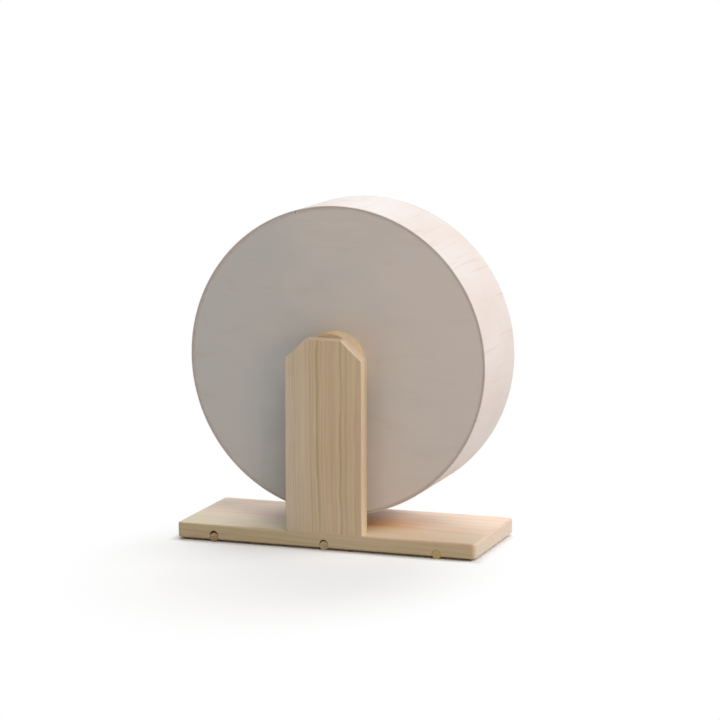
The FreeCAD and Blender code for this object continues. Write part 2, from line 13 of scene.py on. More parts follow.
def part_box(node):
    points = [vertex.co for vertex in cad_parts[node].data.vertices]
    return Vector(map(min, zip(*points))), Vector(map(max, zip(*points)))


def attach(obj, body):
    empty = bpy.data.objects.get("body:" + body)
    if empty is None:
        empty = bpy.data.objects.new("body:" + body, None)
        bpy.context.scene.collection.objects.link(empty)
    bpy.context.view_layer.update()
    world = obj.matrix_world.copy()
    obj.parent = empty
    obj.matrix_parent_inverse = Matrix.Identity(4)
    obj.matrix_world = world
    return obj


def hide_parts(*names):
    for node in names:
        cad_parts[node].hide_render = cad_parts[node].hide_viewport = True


# Looks of a wooden rodent exercise wheel: an open plywood drum on a pine stand with one post.
# Metres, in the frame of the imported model: +X along the base board, +Y from the post into the drum, +Z up.

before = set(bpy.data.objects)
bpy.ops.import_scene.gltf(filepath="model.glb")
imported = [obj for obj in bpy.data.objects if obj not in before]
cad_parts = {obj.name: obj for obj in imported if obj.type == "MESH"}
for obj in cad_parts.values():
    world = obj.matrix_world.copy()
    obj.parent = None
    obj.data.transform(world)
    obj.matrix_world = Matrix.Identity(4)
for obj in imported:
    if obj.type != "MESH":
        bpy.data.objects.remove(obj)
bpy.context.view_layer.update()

MM = 0.001
# Points closer than NEAR are in the same place, and points closer than DOUBLED are one point.
NEAR = 0.02 * MM
DOUBLED = NEAR / 4
# How far a cutter stands out of what it cuts.
OVERSHOOT = 1 * MM
# Angles between two faces, in radians: from these on, their edge is a square or a clipped corner.
SQUARE_CORNER = 1.0
CLIPPED_CORNER = 0.3
SMOOTH_ANGLE = math.radians(35)
# A face looks down when its normal's part downwards is larger than this.
LOOKS_DOWN = 0.9
# How many flat sides stand for the round of a rod or drill and of a countersink.
ROD_SIDES = 48
CONE_SIDES = 40
WOOD_IOR = 1.48
LOG = logging.getLogger("exercise_wheel")


class Body(Enum):
    """The bodies of the frame that a piece can ride on."""

    STAND = "stand"
    WHEEL = "wheel"


class Slot(Enum):
    """The record's material slots, which new pieces are handed but which nothing reads."""

    PINE = "pine"
    BEECH = "beech"
    PLYWOOD = "plywood"
    BENDING_PLYWOOD = "bending_plywood"
    CORK = "cork"


class Element(Enum):
    """What an edit-mode selection is made of: the bmesh sequence and the selection mode."""

    VERTS = ("verts", "VERT")
    EDGES = ("edges", "EDGE")
    FACES = ("faces", "FACE")


class Grain(Enum):
    """Which way wood fibres run, as the turn that lays a pattern's own Z that way."""

    ALONG_X = (0.0, math.pi / 2, 0.0)
    ALONG_Y = (-math.pi / 2, 0.0, 0.0)
    ALONG_Z = (0.0, 0.0, 0.0)

    def direction(self) -> tuple[float, float, float]:
        """Return the unit vector along the fibres."""
        return tuple(float(self is axis) for axis in (Grain.ALONG_X, Grain.ALONG_Y, Grain.ALONG_Z))

    def turned(self, lean: float) -> tuple[float, float, float]:
        """Return the turn for a log whose axis leans a little from the board's length."""
        about_x, about_y, about_z = self.value
        return (about_x, about_y + lean, about_z)


class Side(Enum):
    """Where a skid lies under the base board, seen from the post's side."""

    LEFT = "left"
    MIDDLE = "middle"
    RIGHT = "right"


class Layers(Enum):
    """How a plywood's veneers are stacked: flat, along Y, or bent round the axle."""

    FLAT = "flat"
    BENT = "bent"


@dataclass(frozen=True)
class Box:
    """The lowest and highest corner of a CAD node at rest."""

    low: Vector
    high: Vector

    @classmethod
    def of(cls, node: str) -> "Box":
        """Return the box of a CAD node."""
        return cls(*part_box(node))

    @property
    def middle(self) -> Vector:
        """Return the centre of the box."""
        return (self.low + self.high) / 2

    @property
    def size(self) -> Vector:
        """Return the box's lengths along X, Y and Z."""
        return self.high - self.low


def box_field(node: str) -> Any:
    """Return a dataclass field that holds the box of a CAD node."""
    return field(default_factory=lambda: Box.of(node))


AXLE = Vector((0.0, 0.0, Box.of("hub_block").middle.z))
UP = Vector((0.0, 0.0, 1.0))
INTO_DRUM = Vector((0.0, 1.0, 0.0))


# Modelling by hand: a primitive, edit-mode operators and applied modifiers


def clear_selection() -> None:
    """Leave edit mode and deselect everything, the CAD nodes included."""
    if bpy.context.mode != "OBJECT":
        bpy.ops.object.mode_set(mode="OBJECT")
    bpy.ops.object.select_all(action="DESELECT")


def take(piece: bpy.types.Object) -> bpy.types.Object:
    """Make a piece the only selected and active object.

    Args:
        piece: The piece.

    Returns:
        The same piece.
    """
    clear_selection()
    piece.select_set(True)
    bpy.context.view_layer.objects.active = piece
    return piece


def settle(name: str) -> bpy.types.Object:
    """Name the primitive that was just added and put its place into its mesh.

    Args:
        name: The piece's name.

    Returns:
        The piece, at the origin, unturned and unscaled.
    """
    piece = bpy.context.active_object
    piece.name = name
    piece.data.name = name
    bpy.ops.object.transform_apply(location=True, rotation=True, scale=True)
    return piece


def add_block(name: str, low: Vector, high: Vector) -> bpy.types.Object:
    """Add a block between two corners.

    Args:
        name: The piece's name.
        low: Its lowest corner.
        high: Its highest corner.

    Returns:
        The block.
    """
    clear_selection()
    bpy.ops.mesh.primitive_cube_add(size=1.0, location=(low + high) / 2, scale=high - low)
    return settle(name)


def add_rod(name: str, start: Vector, end: Vector, radius: float, tip: Optional[float] = None,
            sides: int = ROD_SIDES) -> bpy.types.Object:
    """Add a round rod, straight or tapered, between two points.

    Args:
        name: The piece's name.
        start: The centre of its first end.
        end: The centre of its other end.
        radius: Its radius at the start.
        tip: Its radius at the end, where that differs.
        sides: How many flat sides stand for the round.

    Returns:
        The rod.
    """
    clear_selection()
    along = end - start
    bpy.ops.mesh.primitive_cone_add(
        vertices=sides,
        radius1=radius,
        radius2=radius if tip is None else tip,
        depth=along.length,
        location=(start + end) / 2,
        rotation=along.to_track_quat("Z", "Y").to_euler(),
    )
    return settle(name)


@contextmanager
def editing(piece: bpy.types.Object) -> Iterator[bpy.types.Object]:
    """Work on a piece in edit mode, starting with nothing selected.

    Args:
        piece: The piece to edit.

    Yields:
        The same piece.
    """
    take(piece)
    bpy.ops.object.mode_set(mode="EDIT")
    bpy.ops.mesh.select_mode(type="VERT")
    bpy.ops.mesh.select_all(action="DESELECT")
    yield piece
    bpy.ops.object.mode_set(mode="OBJECT")


def pick(piece: bpy.types.Object, element: Element, wanted: Callable[[Any], bool]) -> int:
    """Select in edit mode the vertices, edges or faces that a test accepts, and nothing else.

    Args:
        piece: The piece in edit mode.
        element: What to select.
        wanted: The test, by place or normal.

    Returns:
        How many were selected.
    """
    sequence, mode = element.value
    bpy.ops.mesh.select_mode(type=mode)
    bpy.ops.mesh.select_all(action="DESELECT")
    mesh = bmesh.from_edit_mesh(piece.data)
    chosen = [item for item in getattr(mesh, sequence) if wanted(item)]
    for item in chosen:
        item.select_set(True)
    mesh.select_flush_mode()
    bmesh.update_edit_mesh(piece.data)
    return len(chosen)


def round_edges(piece: bpy.types.Object, radius: float, segments: int,
                wanted: Callable[[Any], bool]) -> None:
    """Round the edges that a test accepts.

    Args:
        piece: The piece, in object mode.
        radius: The rounding's radius.
        segments: How many facets make the round.
        wanted: The test on edges.
    """
    with editing(piece):
        pick(piece, Element.EDGES, wanted)
        bpy.ops.mesh.bevel(offset=radius, segments=segments, profile=0.5, affect="EDGES",
                           clamp_overlap=False)


def slice_off(piece: bpy.types.Object, point: Vector, outward: Vector) -> None:
    """Cut away what lies beyond a plane and close the cut.

    Args:
        piece: The piece, in object mode.
        point: A point on the plane.
        outward: The plane's normal, towards the waste.
    """
    with editing(piece):
        bpy.ops.mesh.select_all(action="SELECT")
        bpy.ops.mesh.bisect(plane_co=point, plane_no=outward, clear_outer=True, use_fill=True,
                            threshold=NEAR)


def score(piece: bpy.types.Object, point: Vector, normal: Vector) -> None:
    """Cut an edge round a piece where a plane passes through it.

    Args:
        piece: The piece, in object mode.
        point: A point on the plane.
        normal: The plane's normal.
    """
    with editing(piece):
        bpy.ops.mesh.select_all(action="SELECT")
        bpy.ops.mesh.bisect(plane_co=point, plane_no=normal, threshold=NEAR)


def modify(piece: bpy.types.Object, kind: str, **settings: Any) -> None:
    """Add a modifier and apply it.

    Args:
        piece: The piece.
        kind: The modifier's type.
        settings: Its properties.
    """
    take(piece)
    modifier = piece.modifiers.new(kind.lower(), kind)
    for name, value in settings.items():
        setattr(modifier, name, value)
    bpy.ops.object.modifier_apply(modifier=modifier.name)


def carve(piece: bpy.types.Object, cutter: bpy.types.Object) -> None:
    """Cut a tool's shape out of a piece and throw the tool away.

    Args:
        piece: The piece to cut.
        cutter: The closed shape to take out.
    """
    modify(piece, "BOOLEAN", operation="DIFFERENCE", solver="EXACT", object=cutter)
    bpy.data.objects.remove(cutter)


def drill(piece: bpy.types.Object, mouth: Vector, inward: Vector, radius: float, depth: float,
          sink: float = 0.0) -> None:
    """Drill a round hole, with a right-angled countersink where its radius at the mouth is given.

    Args:
        piece: The piece.
        mouth: The middle of the hole's mouth.
        inward: The unit vector into the piece.
        radius: The hole's radius.
        depth: How deep it goes.
        sink: The countersink's radius.
    """
    above = mouth - inward * OVERSHOOT
    carve(piece, add_rod("drill", above, mouth + inward * depth, radius))
    if sink:
        point = mouth + inward * sink
        carve(piece, add_rod("countersink", above, point, sink + OVERSHOOT, tip=0.0, sides=CONE_SIDES))
    tidy_shell(piece)


def tidy_shell(piece: bpy.types.Object) -> None:
    """Merge doubled points, drop loose edges and turn all faces outwards.

    Args:
        piece: The piece, in object mode.
    """
    with editing(piece):
        bpy.ops.mesh.select_all(action="SELECT")
        bpy.ops.mesh.remove_doubles(threshold=DOUBLED)
        bpy.ops.mesh.delete_loose()
        bpy.ops.mesh.select_all(action="SELECT")
        bpy.ops.mesh.normals_make_consistent(inside=False)


def duplicate(piece: bpy.types.Object, name: str, shift: Vector) -> bpy.types.Object:
    """Copy a piece with its own mesh and move the copy's mesh.

    Args:
        piece: The piece to copy.
        name: The copy's name.
        shift: How far the copy lies from the piece.

    Returns:
        The copy, at the origin.
    """
    take(piece)
    bpy.ops.object.duplicate(linked=False)
    bpy.ops.transform.translate(value=shift)
    return settle(name)


@dataclass(frozen=True)
class Turning:
    """One corner of a turned profile: its radius, its place along the axle and how far it is rounded."""

    radius: float
    along: float
    fillet: float = 0.0

    def spot(self, turn: float) -> Vector:
        """Return the corner's place when the profile stands at an angle from +X towards +Z."""
        return AXLE + Vector((self.radius * math.cos(turn), self.along, self.radius * math.sin(turn)))


@dataclass(frozen=True)
class ScrewRing:
    """The ring of screws that clamps the drum's back between the hub's two discs."""

    circle: float = 25 * MM
    count: int = 4
    hole_radius: float = 2.05 * MM
    head_radius: float = 3.85 * MM
    bite: float = 10 * MM

    def places(self, along: float) -> list[Vector]:
        """Return where the screws pass a place along the axle."""
        turns = [math.tau * index / self.count for index in range(self.count)]
        return [Turning(self.circle, along).spot(turn) for turn in turns]


def turn_on_axle(name: str, profile: Sequence[Turning], steps: int, start: float = 0.0,
                 sweep: float = math.tau, fillet_segments: int = 5) -> bpy.types.Object:
    """Draw a profile point by point and spin it round the axle.

    Args:
        name: The piece's name.
        profile: The corners of the closed profile, in order.
        steps: How many steps make the sweep.
        start: The angle of the profile, from +X towards +Z.
        sweep: How far it turns, the same way.
        fillet_segments: How many facets make a rounded corner.

    Returns:
        The turned piece, closed, with its faces outwards.
    """
    spots = [corner.spot(start) for corner in profile]
    clear_selection()
    bpy.ops.mesh.primitive_plane_add(size=MM, location=spots[0])
    piece = settle(name)
    with editing(piece):
        bpy.ops.mesh.select_all(action="SELECT")
        bpy.ops.mesh.merge(type="CENTER")
        for here, there in zip(spots, spots[1:] + spots[:1]):
            bpy.ops.mesh.extrude_region_move(TRANSFORM_OT_translate={"value": there - here})
        bpy.ops.mesh.select_all(action="SELECT")
        bpy.ops.mesh.remove_doubles(threshold=NEAR)
        for corner, spot in zip(profile, spots):
            if corner.fillet:
                pick(piece, Element.VERTS, lambda vert: (vert.co - spot).length < NEAR)
                bpy.ops.mesh.bevel(offset=corner.fillet, segments=fillet_segments, affect="VERTICES")
        bpy.ops.mesh.select_all(action="SELECT")
        bpy.ops.mesh.spin(steps=steps, angle=sweep, center=AXLE, axis=INTO_DRUM)
        bpy.ops.mesh.select_all(action="SELECT")
        bpy.ops.mesh.remove_doubles(threshold=NEAR)
        if pick(piece, Element.EDGES, lambda edge: edge.is_boundary):
            bpy.ops.mesh.edge_face_add()
    tidy_shell(piece)
    return piece


# Finishes


def srgb(code: str) -> tuple[float, float, float, float]:
    """Turn an sRGB hex colour into linear red, green, blue and alpha.

    Args:
        code: The colour as #RRGGBB.

    Returns:
        Four linear numbers from 0 to 1.
    """
    parts = [int(code[start:start + 2], 16) / 255 for start in (1, 3, 5)]
    linear = [part / 12.92 if part <= 0.04045 else ((part + 0.055) / 1.055) ** 2.4 for part in parts]
    return (*linear, 1.0)


def stretched(across_mm: float, along_mm: float) -> tuple[float, float, float]:
    """Return the scale of a pattern with one size across the grain and another along it, its own Z."""
    return (1 / across_mm, 1 / across_mm, 1 / along_mm)


def feed(tree: bpy.types.NodeTree, node: bpy.types.Node, inputs: dict) -> None:
    """Fill the sockets of a node.

    Args:
        tree: The node tree.
        node: The node.
        inputs: What goes into its sockets, by name or number: a socket to link or a plain value.
    """
    for socket, value in inputs.items():
        if isinstance(value, bpy.types.NodeSocket):
            tree.links.new(value, node.inputs[socket])
        else:
            node.inputs[socket].default_value = value


def add_node(tree: bpy.types.NodeTree, kind: str, inputs: Optional[dict] = None,
             stops: Sequence[tuple[float, str]] = (), **settings: Any) -> bpy.types.Node:
    """Add a shader node with its settings and links.

    Args:
        tree: The node tree.
        kind: The node's type, without the ShaderNode that every type starts with.
        inputs: What feeds its sockets.
        stops: The places and colours of a colour ramp.
        settings: The node's own properties.

    Returns:
        The node.
    """
    node = tree.nodes.new("ShaderNode" + kind)
    for name, value in settings.items():
        setattr(node, name, value)
    feed(tree, node, inputs or {})
    for index, (place, code) in enumerate(stops):
        ramp = node.color_ramp.elements
        element = ramp[index] if index < len(ramp) else ramp.new(place)
        element.position = place
        element.color = srgb(code)
    return node


@dataclass(frozen=True)
class Finish:
    """A named surface that is made once and shared by the pieces that have it."""

    name: str

    def surface(self, tree: bpy.types.NodeTree) -> dict[str, Any]:
        """Add the nodes that give the surface its look and return what feeds the shader's sockets."""
        raise NotImplementedError

    def material(self) -> bpy.types.Material:
        """Return the finish's material, made on first use.

        Returns:
            The material.
        """
        made = bpy.data.materials.get(self.name)
        if made is None:
            made = bpy.data.materials.new(self.name)
            made.use_nodes = True
            tree = made.node_tree
            feed(tree, tree.nodes["Principled BSDF"], self.surface(tree))
        return made


@dataclass(frozen=True)
class SolidWood(Finish):
    """Planed timber: growth rings round the pith, fine fibres along it, a tone of its own on end grain.

    Real fibres are too fine to show in the render, so fibre_mm is as coarse as it needs to be.
    """

    pale: str
    dark: str
    rosy: str
    tint: str
    end_tone: str
    grain: Grain
    pith: Vector
    ring_mm: float
    ring_show: float
    lean: float = 0.0
    band_show: float = 0.6
    late_power: float = 3.5
    uneven_years: float = 2.4
    uneven_scale: float = 0.37
    sapwood: str = "#E3DCD2"
    sap_from_mm: float = 400.0
    sap_width_mm: float = 60.0
    # A painted warm shade: the tint it multiplies in, the middle of its oval and the oval's size; white
    # paints nothing.
    resin: str = "#FFFFFF"
    resin_place: tuple[float, float, float] = (0.0, 0.0, 0.0)
    resin_reach: tuple[float, float, float] = (1.0, 1.0, 1.0)
    sway_mm: float = 2.5
    sway_across_mm: float = 45.0
    sway_run_mm: float = 130.0
    fibre_mm: float = 1.6
    fibre_run_mm: float = 70.0
    fibre_show: float = 0.42
    ridge_mm: float = 0.2
    cloud_mm: float = 40.0
    cloud_show: float = 0.55
    end_share: float = 0.75
    roughness: float = 0.45
    fuzz: float = 0.12

    def surface(self, tree: bpy.types.NodeTree) -> dict[str, Any]:
        """Build the wood as a solid pattern, so that faces, arrises and end grain agree.

        Args:
            tree: The material's node tree.

        Returns:
            What feeds the shader's sockets.
        """
        spot = add_node(tree, "TexCoord")
        log = add_node(tree, "Mapping", {"Vector": spot.outputs["Object"], "Location": self.pith,
                                         "Rotation": self.grain.turned(self.lean), "Scale": (MM, MM, MM)},
                       vector_type="TEXTURE")
        banded, swayed, late_wood = self.growth(tree, log.outputs[0])

        reach = stretched(self.fibre_mm, self.fibre_run_mm)
        fine = add_node(tree, "VectorMath", {0: swayed, 1: reach}, operation="MULTIPLY")
        fibre = add_node(tree, "TexNoise", {"Vector": fine.outputs[0], "Scale": 1.0, "Detail": 3.0,
                                            "Roughness": 0.6})
        streaked = add_node(tree, "Mix", {0: self.fibre_show, 6: banded, 7: fibre.outputs["Fac"]},
                            data_type="RGBA", blend_type="SOFT_LIGHT")
        reach = stretched(self.cloud_mm, 3 * self.cloud_mm)
        broad = add_node(tree, "VectorMath", {0: log.outputs[0], 1: reach}, operation="MULTIPLY")
        cloud = add_node(tree, "TexNoise", {"Vector": broad.outputs[0], "Scale": 1.0, "Detail": 2.0})
        patch = add_node(tree, "MapRange", {"Value": cloud.outputs["Fac"], "From Min": 0.35,
                                            "From Max": 0.7, "To Max": self.cloud_show})
        tinted = add_node(tree, "Mix", {0: patch.outputs[0], 6: streaked.outputs[2], 7: srgb(self.tint)},
                          data_type="RGBA", blend_type="MULTIPLY")

        # Painted shade: inside an oval the colour is multiplied by a warm tint, which stands for the shade
        # under a neighbouring part.
        shade_oval = add_node(tree, "Mapping", {"Vector": spot.outputs["Object"], "Location": self.resin_place,
                                          "Scale": self.resin_reach}, vector_type="TEXTURE")
        aside = add_node(tree, "VectorMath", {0: shade_oval.outputs[0]}, operation="LENGTH")
        in_painted_shade = add_node(tree, "MapRange", {"Value": aside.outputs["Value"], "From Min": 1.0,
                                             "From Max": 0.1}, interpolation_type="SMOOTHSTEP")
        resinous = add_node(tree, "Mix", {0: in_painted_shade.outputs[0], 6: tinted.outputs[2], 7: srgb(self.resin)},
                            data_type="RGBA", blend_type="MULTIPLY")

        facing = add_node(tree, "VectorMath", {0: spot.outputs["Normal"], 1: self.grain.direction()},
                          operation="DOT_PRODUCT")
        square = add_node(tree, "Math", {0: facing.outputs["Value"], 1: facing.outputs["Value"]},
                          operation="MULTIPLY")
        cover = add_node(tree, "Math", {0: square.outputs[0], 1: self.end_share}, operation="MULTIPLY")
        colour = add_node(tree, "Mix", {0: cover.outputs[0], 6: resinous.outputs[2],
                                        7: srgb(self.end_tone)}, data_type="RGBA")

        dull = add_node(tree, "MapRange", {"Value": fibre.outputs["Fac"], "To Min": self.roughness - 0.08,
                                           "To Max": self.roughness + 0.1})
        ridge = add_node(tree, "Math", {0: fibre.outputs["Fac"], 1: late_wood}, operation="ADD")
        bump = add_node(tree, "Bump", {"Height": ridge.outputs[0], "Strength": 0.35,
                                       "Distance": self.ridge_mm * MM})
        return {"Base Color": colour.outputs[2], "Roughness": dull.outputs[0], "Normal": bump.outputs[0],
                "IOR": WOOD_IOR, "Sheen Weight": self.fuzz}

    def growth(self, tree: bpy.types.NodeTree,
               log: bpy.types.NodeSocket) -> tuple[bpy.types.NodeSocket, ...]:
        """Lay the years' rings round the pith, each with its own width, strength and cast.

        Args:
            tree: The material's node tree.
            log: The place in the log, in millimetres, with Z along the pith.

        Returns:
            The rings' colour, the place with the rings' sway, and how much late wood shows there.
        """
        reach = stretched(self.sway_across_mm, self.sway_run_mm)
        slow = add_node(tree, "VectorMath", {0: log, 1: reach}, operation="MULTIPLY")
        drift = add_node(tree, "TexNoise", {"Vector": slow.outputs[0], "Scale": 1.0, "Detail": 2.0})
        sway = add_node(tree, "VectorMath", {0: drift.outputs["Color"], 1: (0.5, 0.5, 0.5)},
                        operation="SUBTRACT")
        swayed = add_node(tree, "VectorMath", {0: sway.outputs[0], 1: (self.sway_mm * 2,) * 3, 2: log},
                          operation="MULTIPLY_ADD")
        across = add_node(tree, "VectorMath", {0: swayed.outputs[0], 1: (1.0, 1.0, 0.0)},
                          operation="MULTIPLY")
        radius = add_node(tree, "VectorMath", {0: across.outputs[0]}, operation="LENGTH")
        years = add_node(tree, "Math", {0: radius.outputs["Value"], 1: self.ring_mm}, operation="DIVIDE")
        uneven = add_node(tree, "TexNoise", {"W": years.outputs[0], "Scale": self.uneven_scale,
                                             "Detail": 1.0}, noise_dimensions="1D")
        count = add_node(tree, "Math", {0: uneven.outputs["Fac"], 1: self.uneven_years,
                                        2: years.outputs[0]}, operation="MULTIPLY_ADD")
        season = add_node(tree, "Math", {0: count.outputs[0]}, operation="FRACT")
        late = add_node(tree, "Math", {0: season.outputs[0], 1: self.late_power}, operation="POWER")
        year = add_node(tree, "Math", {0: count.outputs[0]}, operation="FLOOR")
        luck = add_node(tree, "TexWhiteNoise", {"W": year.outputs[0]}, noise_dimensions="1D")
        strength = add_node(tree, "MapRange", {"Value": luck.outputs["Value"], "From Min": 0.3,
                                               "To Min": self.ring_show * 0.3,
                                               "To Max": self.ring_show * 1.3})
        fading = add_node(tree, "MapRange", {"Value": drift.outputs["Fac"], "From Min": 0.35,
                                             "From Max": 0.6, "To Min": 0.45})
        firm = add_node(tree, "Math", {0: strength.outputs[0], 1: fading.outputs[0]}, operation="MULTIPLY")
        share = add_node(tree, "Math", {0: late.outputs[0], 1: firm.outputs[0]}, operation="MULTIPLY")
        outer = add_node(tree, "MapRange", {"Value": radius.outputs["Value"], "From Min": self.sap_from_mm,
                                            "From Max": self.sap_from_mm + self.sap_width_mm})
        early = add_node(tree, "Mix", {0: outer.outputs[0], 6: srgb(self.pale), 7: srgb(self.sapwood)},
                         data_type="RGBA")
        ringed = add_node(tree, "Mix", {0: share.outputs[0], 6: early.outputs[2], 7: srgb(self.dark)},
                          data_type="RGBA")
        mood = add_node(tree, "SeparateColor", {0: luck.outputs["Color"]})
        rosy = add_node(tree, "MapRange", {"Value": mood.outputs[1], "To Max": self.band_show})
        banded = add_node(tree, "Mix", {0: rosy.outputs[0], 6: ringed.outputs[2], 7: srgb(self.rosy)},
                          data_type="RGBA")
        return banded.outputs[2], swayed.outputs[0], share.outputs[0]


@dataclass(frozen=True)
class Plywood(Finish):
    """Rotary-cut veneers glued crosswise: calm cloudy faces with faint grain, striped edges.

    Real pores are too fine to show in the render, so grain_mm is as coarse as it needs to be.
    """

    face: str
    core: str
    glue: str
    tint: str
    vein: str
    grain: Grain
    layers: Layers
    inside: float
    outside: float
    ply_count: int
    glue_share: float = 0.02
    streak_show: float = 0.12
    vein_show: float = 0.3
    grain_mm: float = 2.2
    grain_run_mm: float = 60.0
    pore_mm: float = 0.1
    vein_mm: float = 14.0
    vein_run_mm: float = 56.0
    cloud_mm: float = 60.0
    # Painted shade: a lean that moves the cool cloud tint towards one side; zero paints nothing.
    painted_shade_lean: tuple[float, float, float] = (0.0, 0.0, 0.0)
    roughness: float = 0.5
    fuzz: float = 0.2

    def edge_stops(self) -> list[tuple[float, str]]:
        """Make the ramp of colours through the thickness, with a thin dark line at each glue joint.

        Returns:
            The places and colours of the ramp.
        """
        stops = [(0.0, self.face)]
        for ply in range(1, self.ply_count):
            joint = ply / self.ply_count
            stops.append((joint - self.glue_share, self.glue))
            stops.append((joint + self.glue_share, self.core if ply % 2 else self.face))
        return stops

    def surface(self, tree: bpy.types.NodeTree) -> dict[str, Any]:
        """Colour the veneers by their depth and lay faint grain and clouds over them.

        Args:
            tree: The material's node tree.

        Returns:
            What feeds the shader's sockets.
        """
        spot = add_node(tree, "TexCoord")
        if self.layers is Layers.FLAT:
            depth = add_node(tree, "VectorMath", {0: spot.outputs["Object"], 1: INTO_DRUM},
                             operation="DOT_PRODUCT")
        else:
            centred = add_node(tree, "VectorMath", {0: spot.outputs["Object"], 1: AXLE},
                               operation="SUBTRACT")
            flat = add_node(tree, "VectorMath", {0: centred.outputs[0], 1: (1.0, 0.0, 1.0)},
                            operation="MULTIPLY")
            depth = add_node(tree, "VectorMath", {0: flat.outputs[0]}, operation="LENGTH")
        place = add_node(tree, "MapRange", {"Value": depth.outputs["Value"], "From Min": self.inside,
                                            "From Max": self.outside})
        veneer = add_node(tree, "ValToRGB", {"Fac": place.outputs[0]}, self.edge_stops())
        veneer.color_ramp.interpolation = "CONSTANT"

        sheet = add_node(tree, "Mapping", {"Vector": spot.outputs["Object"], "Rotation": self.grain.value,
                                           "Scale": (MM, MM, MM)}, vector_type="TEXTURE")
        reach = stretched(self.grain_mm, self.grain_run_mm)
        fine = add_node(tree, "VectorMath", {0: sheet.outputs[0], 1: reach}, operation="MULTIPLY")
        streak = add_node(tree, "TexNoise", {"Vector": fine.outputs[0], "Scale": 1.0, "Detail": 4.0,
                                             "Roughness": 0.62})
        streaked = add_node(tree, "Mix", {0: self.streak_show, 6: veneer.outputs["Color"],
                                          7: streak.outputs["Fac"]},
                            data_type="RGBA", blend_type="SOFT_LIGHT")
        reach = stretched(self.vein_mm, self.vein_run_mm)
        wide = add_node(tree, "VectorMath", {0: sheet.outputs[0], 1: reach}, operation="MULTIPLY")
        flow = add_node(tree, "TexNoise", {"Vector": wide.outputs[0], "Scale": 1.0, "Detail": 3.0,
                                           "Distortion": 0.8})
        sparse = add_node(tree, "MapRange", {"Value": flow.outputs["Fac"], "From Min": 0.58,
                                             "From Max": 0.72, "To Max": self.vein_show},
                          interpolation_type="SMOOTHSTEP")
        veined = add_node(tree, "Mix", {0: sparse.outputs[0], 6: streaked.outputs[2], 7: srgb(self.vein)},
                          data_type="RGBA", blend_type="MULTIPLY")
        reach = stretched(self.cloud_mm, 2 * self.cloud_mm)
        broad = add_node(tree, "VectorMath", {0: sheet.outputs[0], 1: reach}, operation="MULTIPLY")
        cloud = add_node(tree, "TexNoise", {"Vector": broad.outputs[0], "Scale": 1.0, "Detail": 3.0})
        # Painted shade: the clouds lean towards one side, which cools and darkens it as if less warm light
        # reached it.
        side_shade = add_node(tree, "VectorMath", {0: spot.outputs["Object"], 1: self.painted_shade_lean},
                        operation="DOT_PRODUCT")
        cloud_and_side_shade = add_node(tree, "Math", {0: cloud.outputs["Fac"], 1: side_shade.outputs["Value"]},
                         operation="ADD")
        patch = add_node(tree, "MapRange", {"Value": cloud_and_side_shade.outputs[0], "From Min": 0.35, "From Max": 0.68})
        colour = add_node(tree, "Mix", {0: patch.outputs[0], 6: veined.outputs[2], 7: srgb(self.tint)},
                          data_type="RGBA", blend_type="MULTIPLY")
        dull = add_node(tree, "MapRange", {"Value": streak.outputs["Fac"], "To Min": self.roughness - 0.06,
                                           "To Max": self.roughness + 0.1})
        bump = add_node(tree, "Bump", {"Height": streak.outputs["Fac"], "Strength": 0.1,
                                       "Distance": self.pore_mm * MM})
        return {"Base Color": colour.outputs[2], "Roughness": dull.outputs[0], "Normal": bump.outputs[0],
                "IOR": WOOD_IOR, "Sheen Weight": self.fuzz}


@dataclass(frozen=True)
class PressedCork(Finish):
    """Cork granules pressed into a sheet: mottled browns, dark gaps between the grains, quite dull."""

    grain_mm: float = 2.6
    shades: tuple[str, ...] = ("#7A5332", "#A97C4E", "#BF9463", "#936A40")
    gap: str = "#4E3420"
    gap_share: float = 0.12
    gap_depth_mm: float = 0.3
    roughness: float = 0.85

    def surface(self, tree: bpy.types.NodeTree) -> dict[str, Any]:
        """Give every granule its own brown and sink the gaps between them.

        Args:
            tree: The material's node tree.

        Returns:
            What feeds the shader's sockets.
        """
        spot = add_node(tree, "TexCoord")
        scale = 1 / (self.grain_mm * MM)
        crumb = add_node(tree, "TexVoronoi", {"Vector": spot.outputs["Object"], "Scale": scale})
        share = add_node(tree, "SeparateColor", {0: crumb.outputs["Color"]})
        stops = [(index / (len(self.shades) - 1), shade) for index, shade in enumerate(self.shades)]
        brown = add_node(tree, "ValToRGB", {"Fac": share.outputs[0]}, stops)
        border = add_node(tree, "TexVoronoi", {"Vector": spot.outputs["Object"], "Scale": scale},
                          feature="DISTANCE_TO_EDGE")
        solid = add_node(tree, "MapRange", {"Value": border.outputs["Distance"],
                                            "From Max": self.gap_share})
        colour = add_node(tree, "Mix", {0: solid.outputs[0], 6: srgb(self.gap), 7: brown.outputs["Color"]},
                          data_type="RGBA")
        bump = add_node(tree, "Bump", {"Height": solid.outputs[0], "Strength": 0.6,
                                       "Distance": self.gap_depth_mm * MM})
        return {"Base Color": colour.outputs[2], "Roughness": self.roughness, "Normal": bump.outputs[0]}


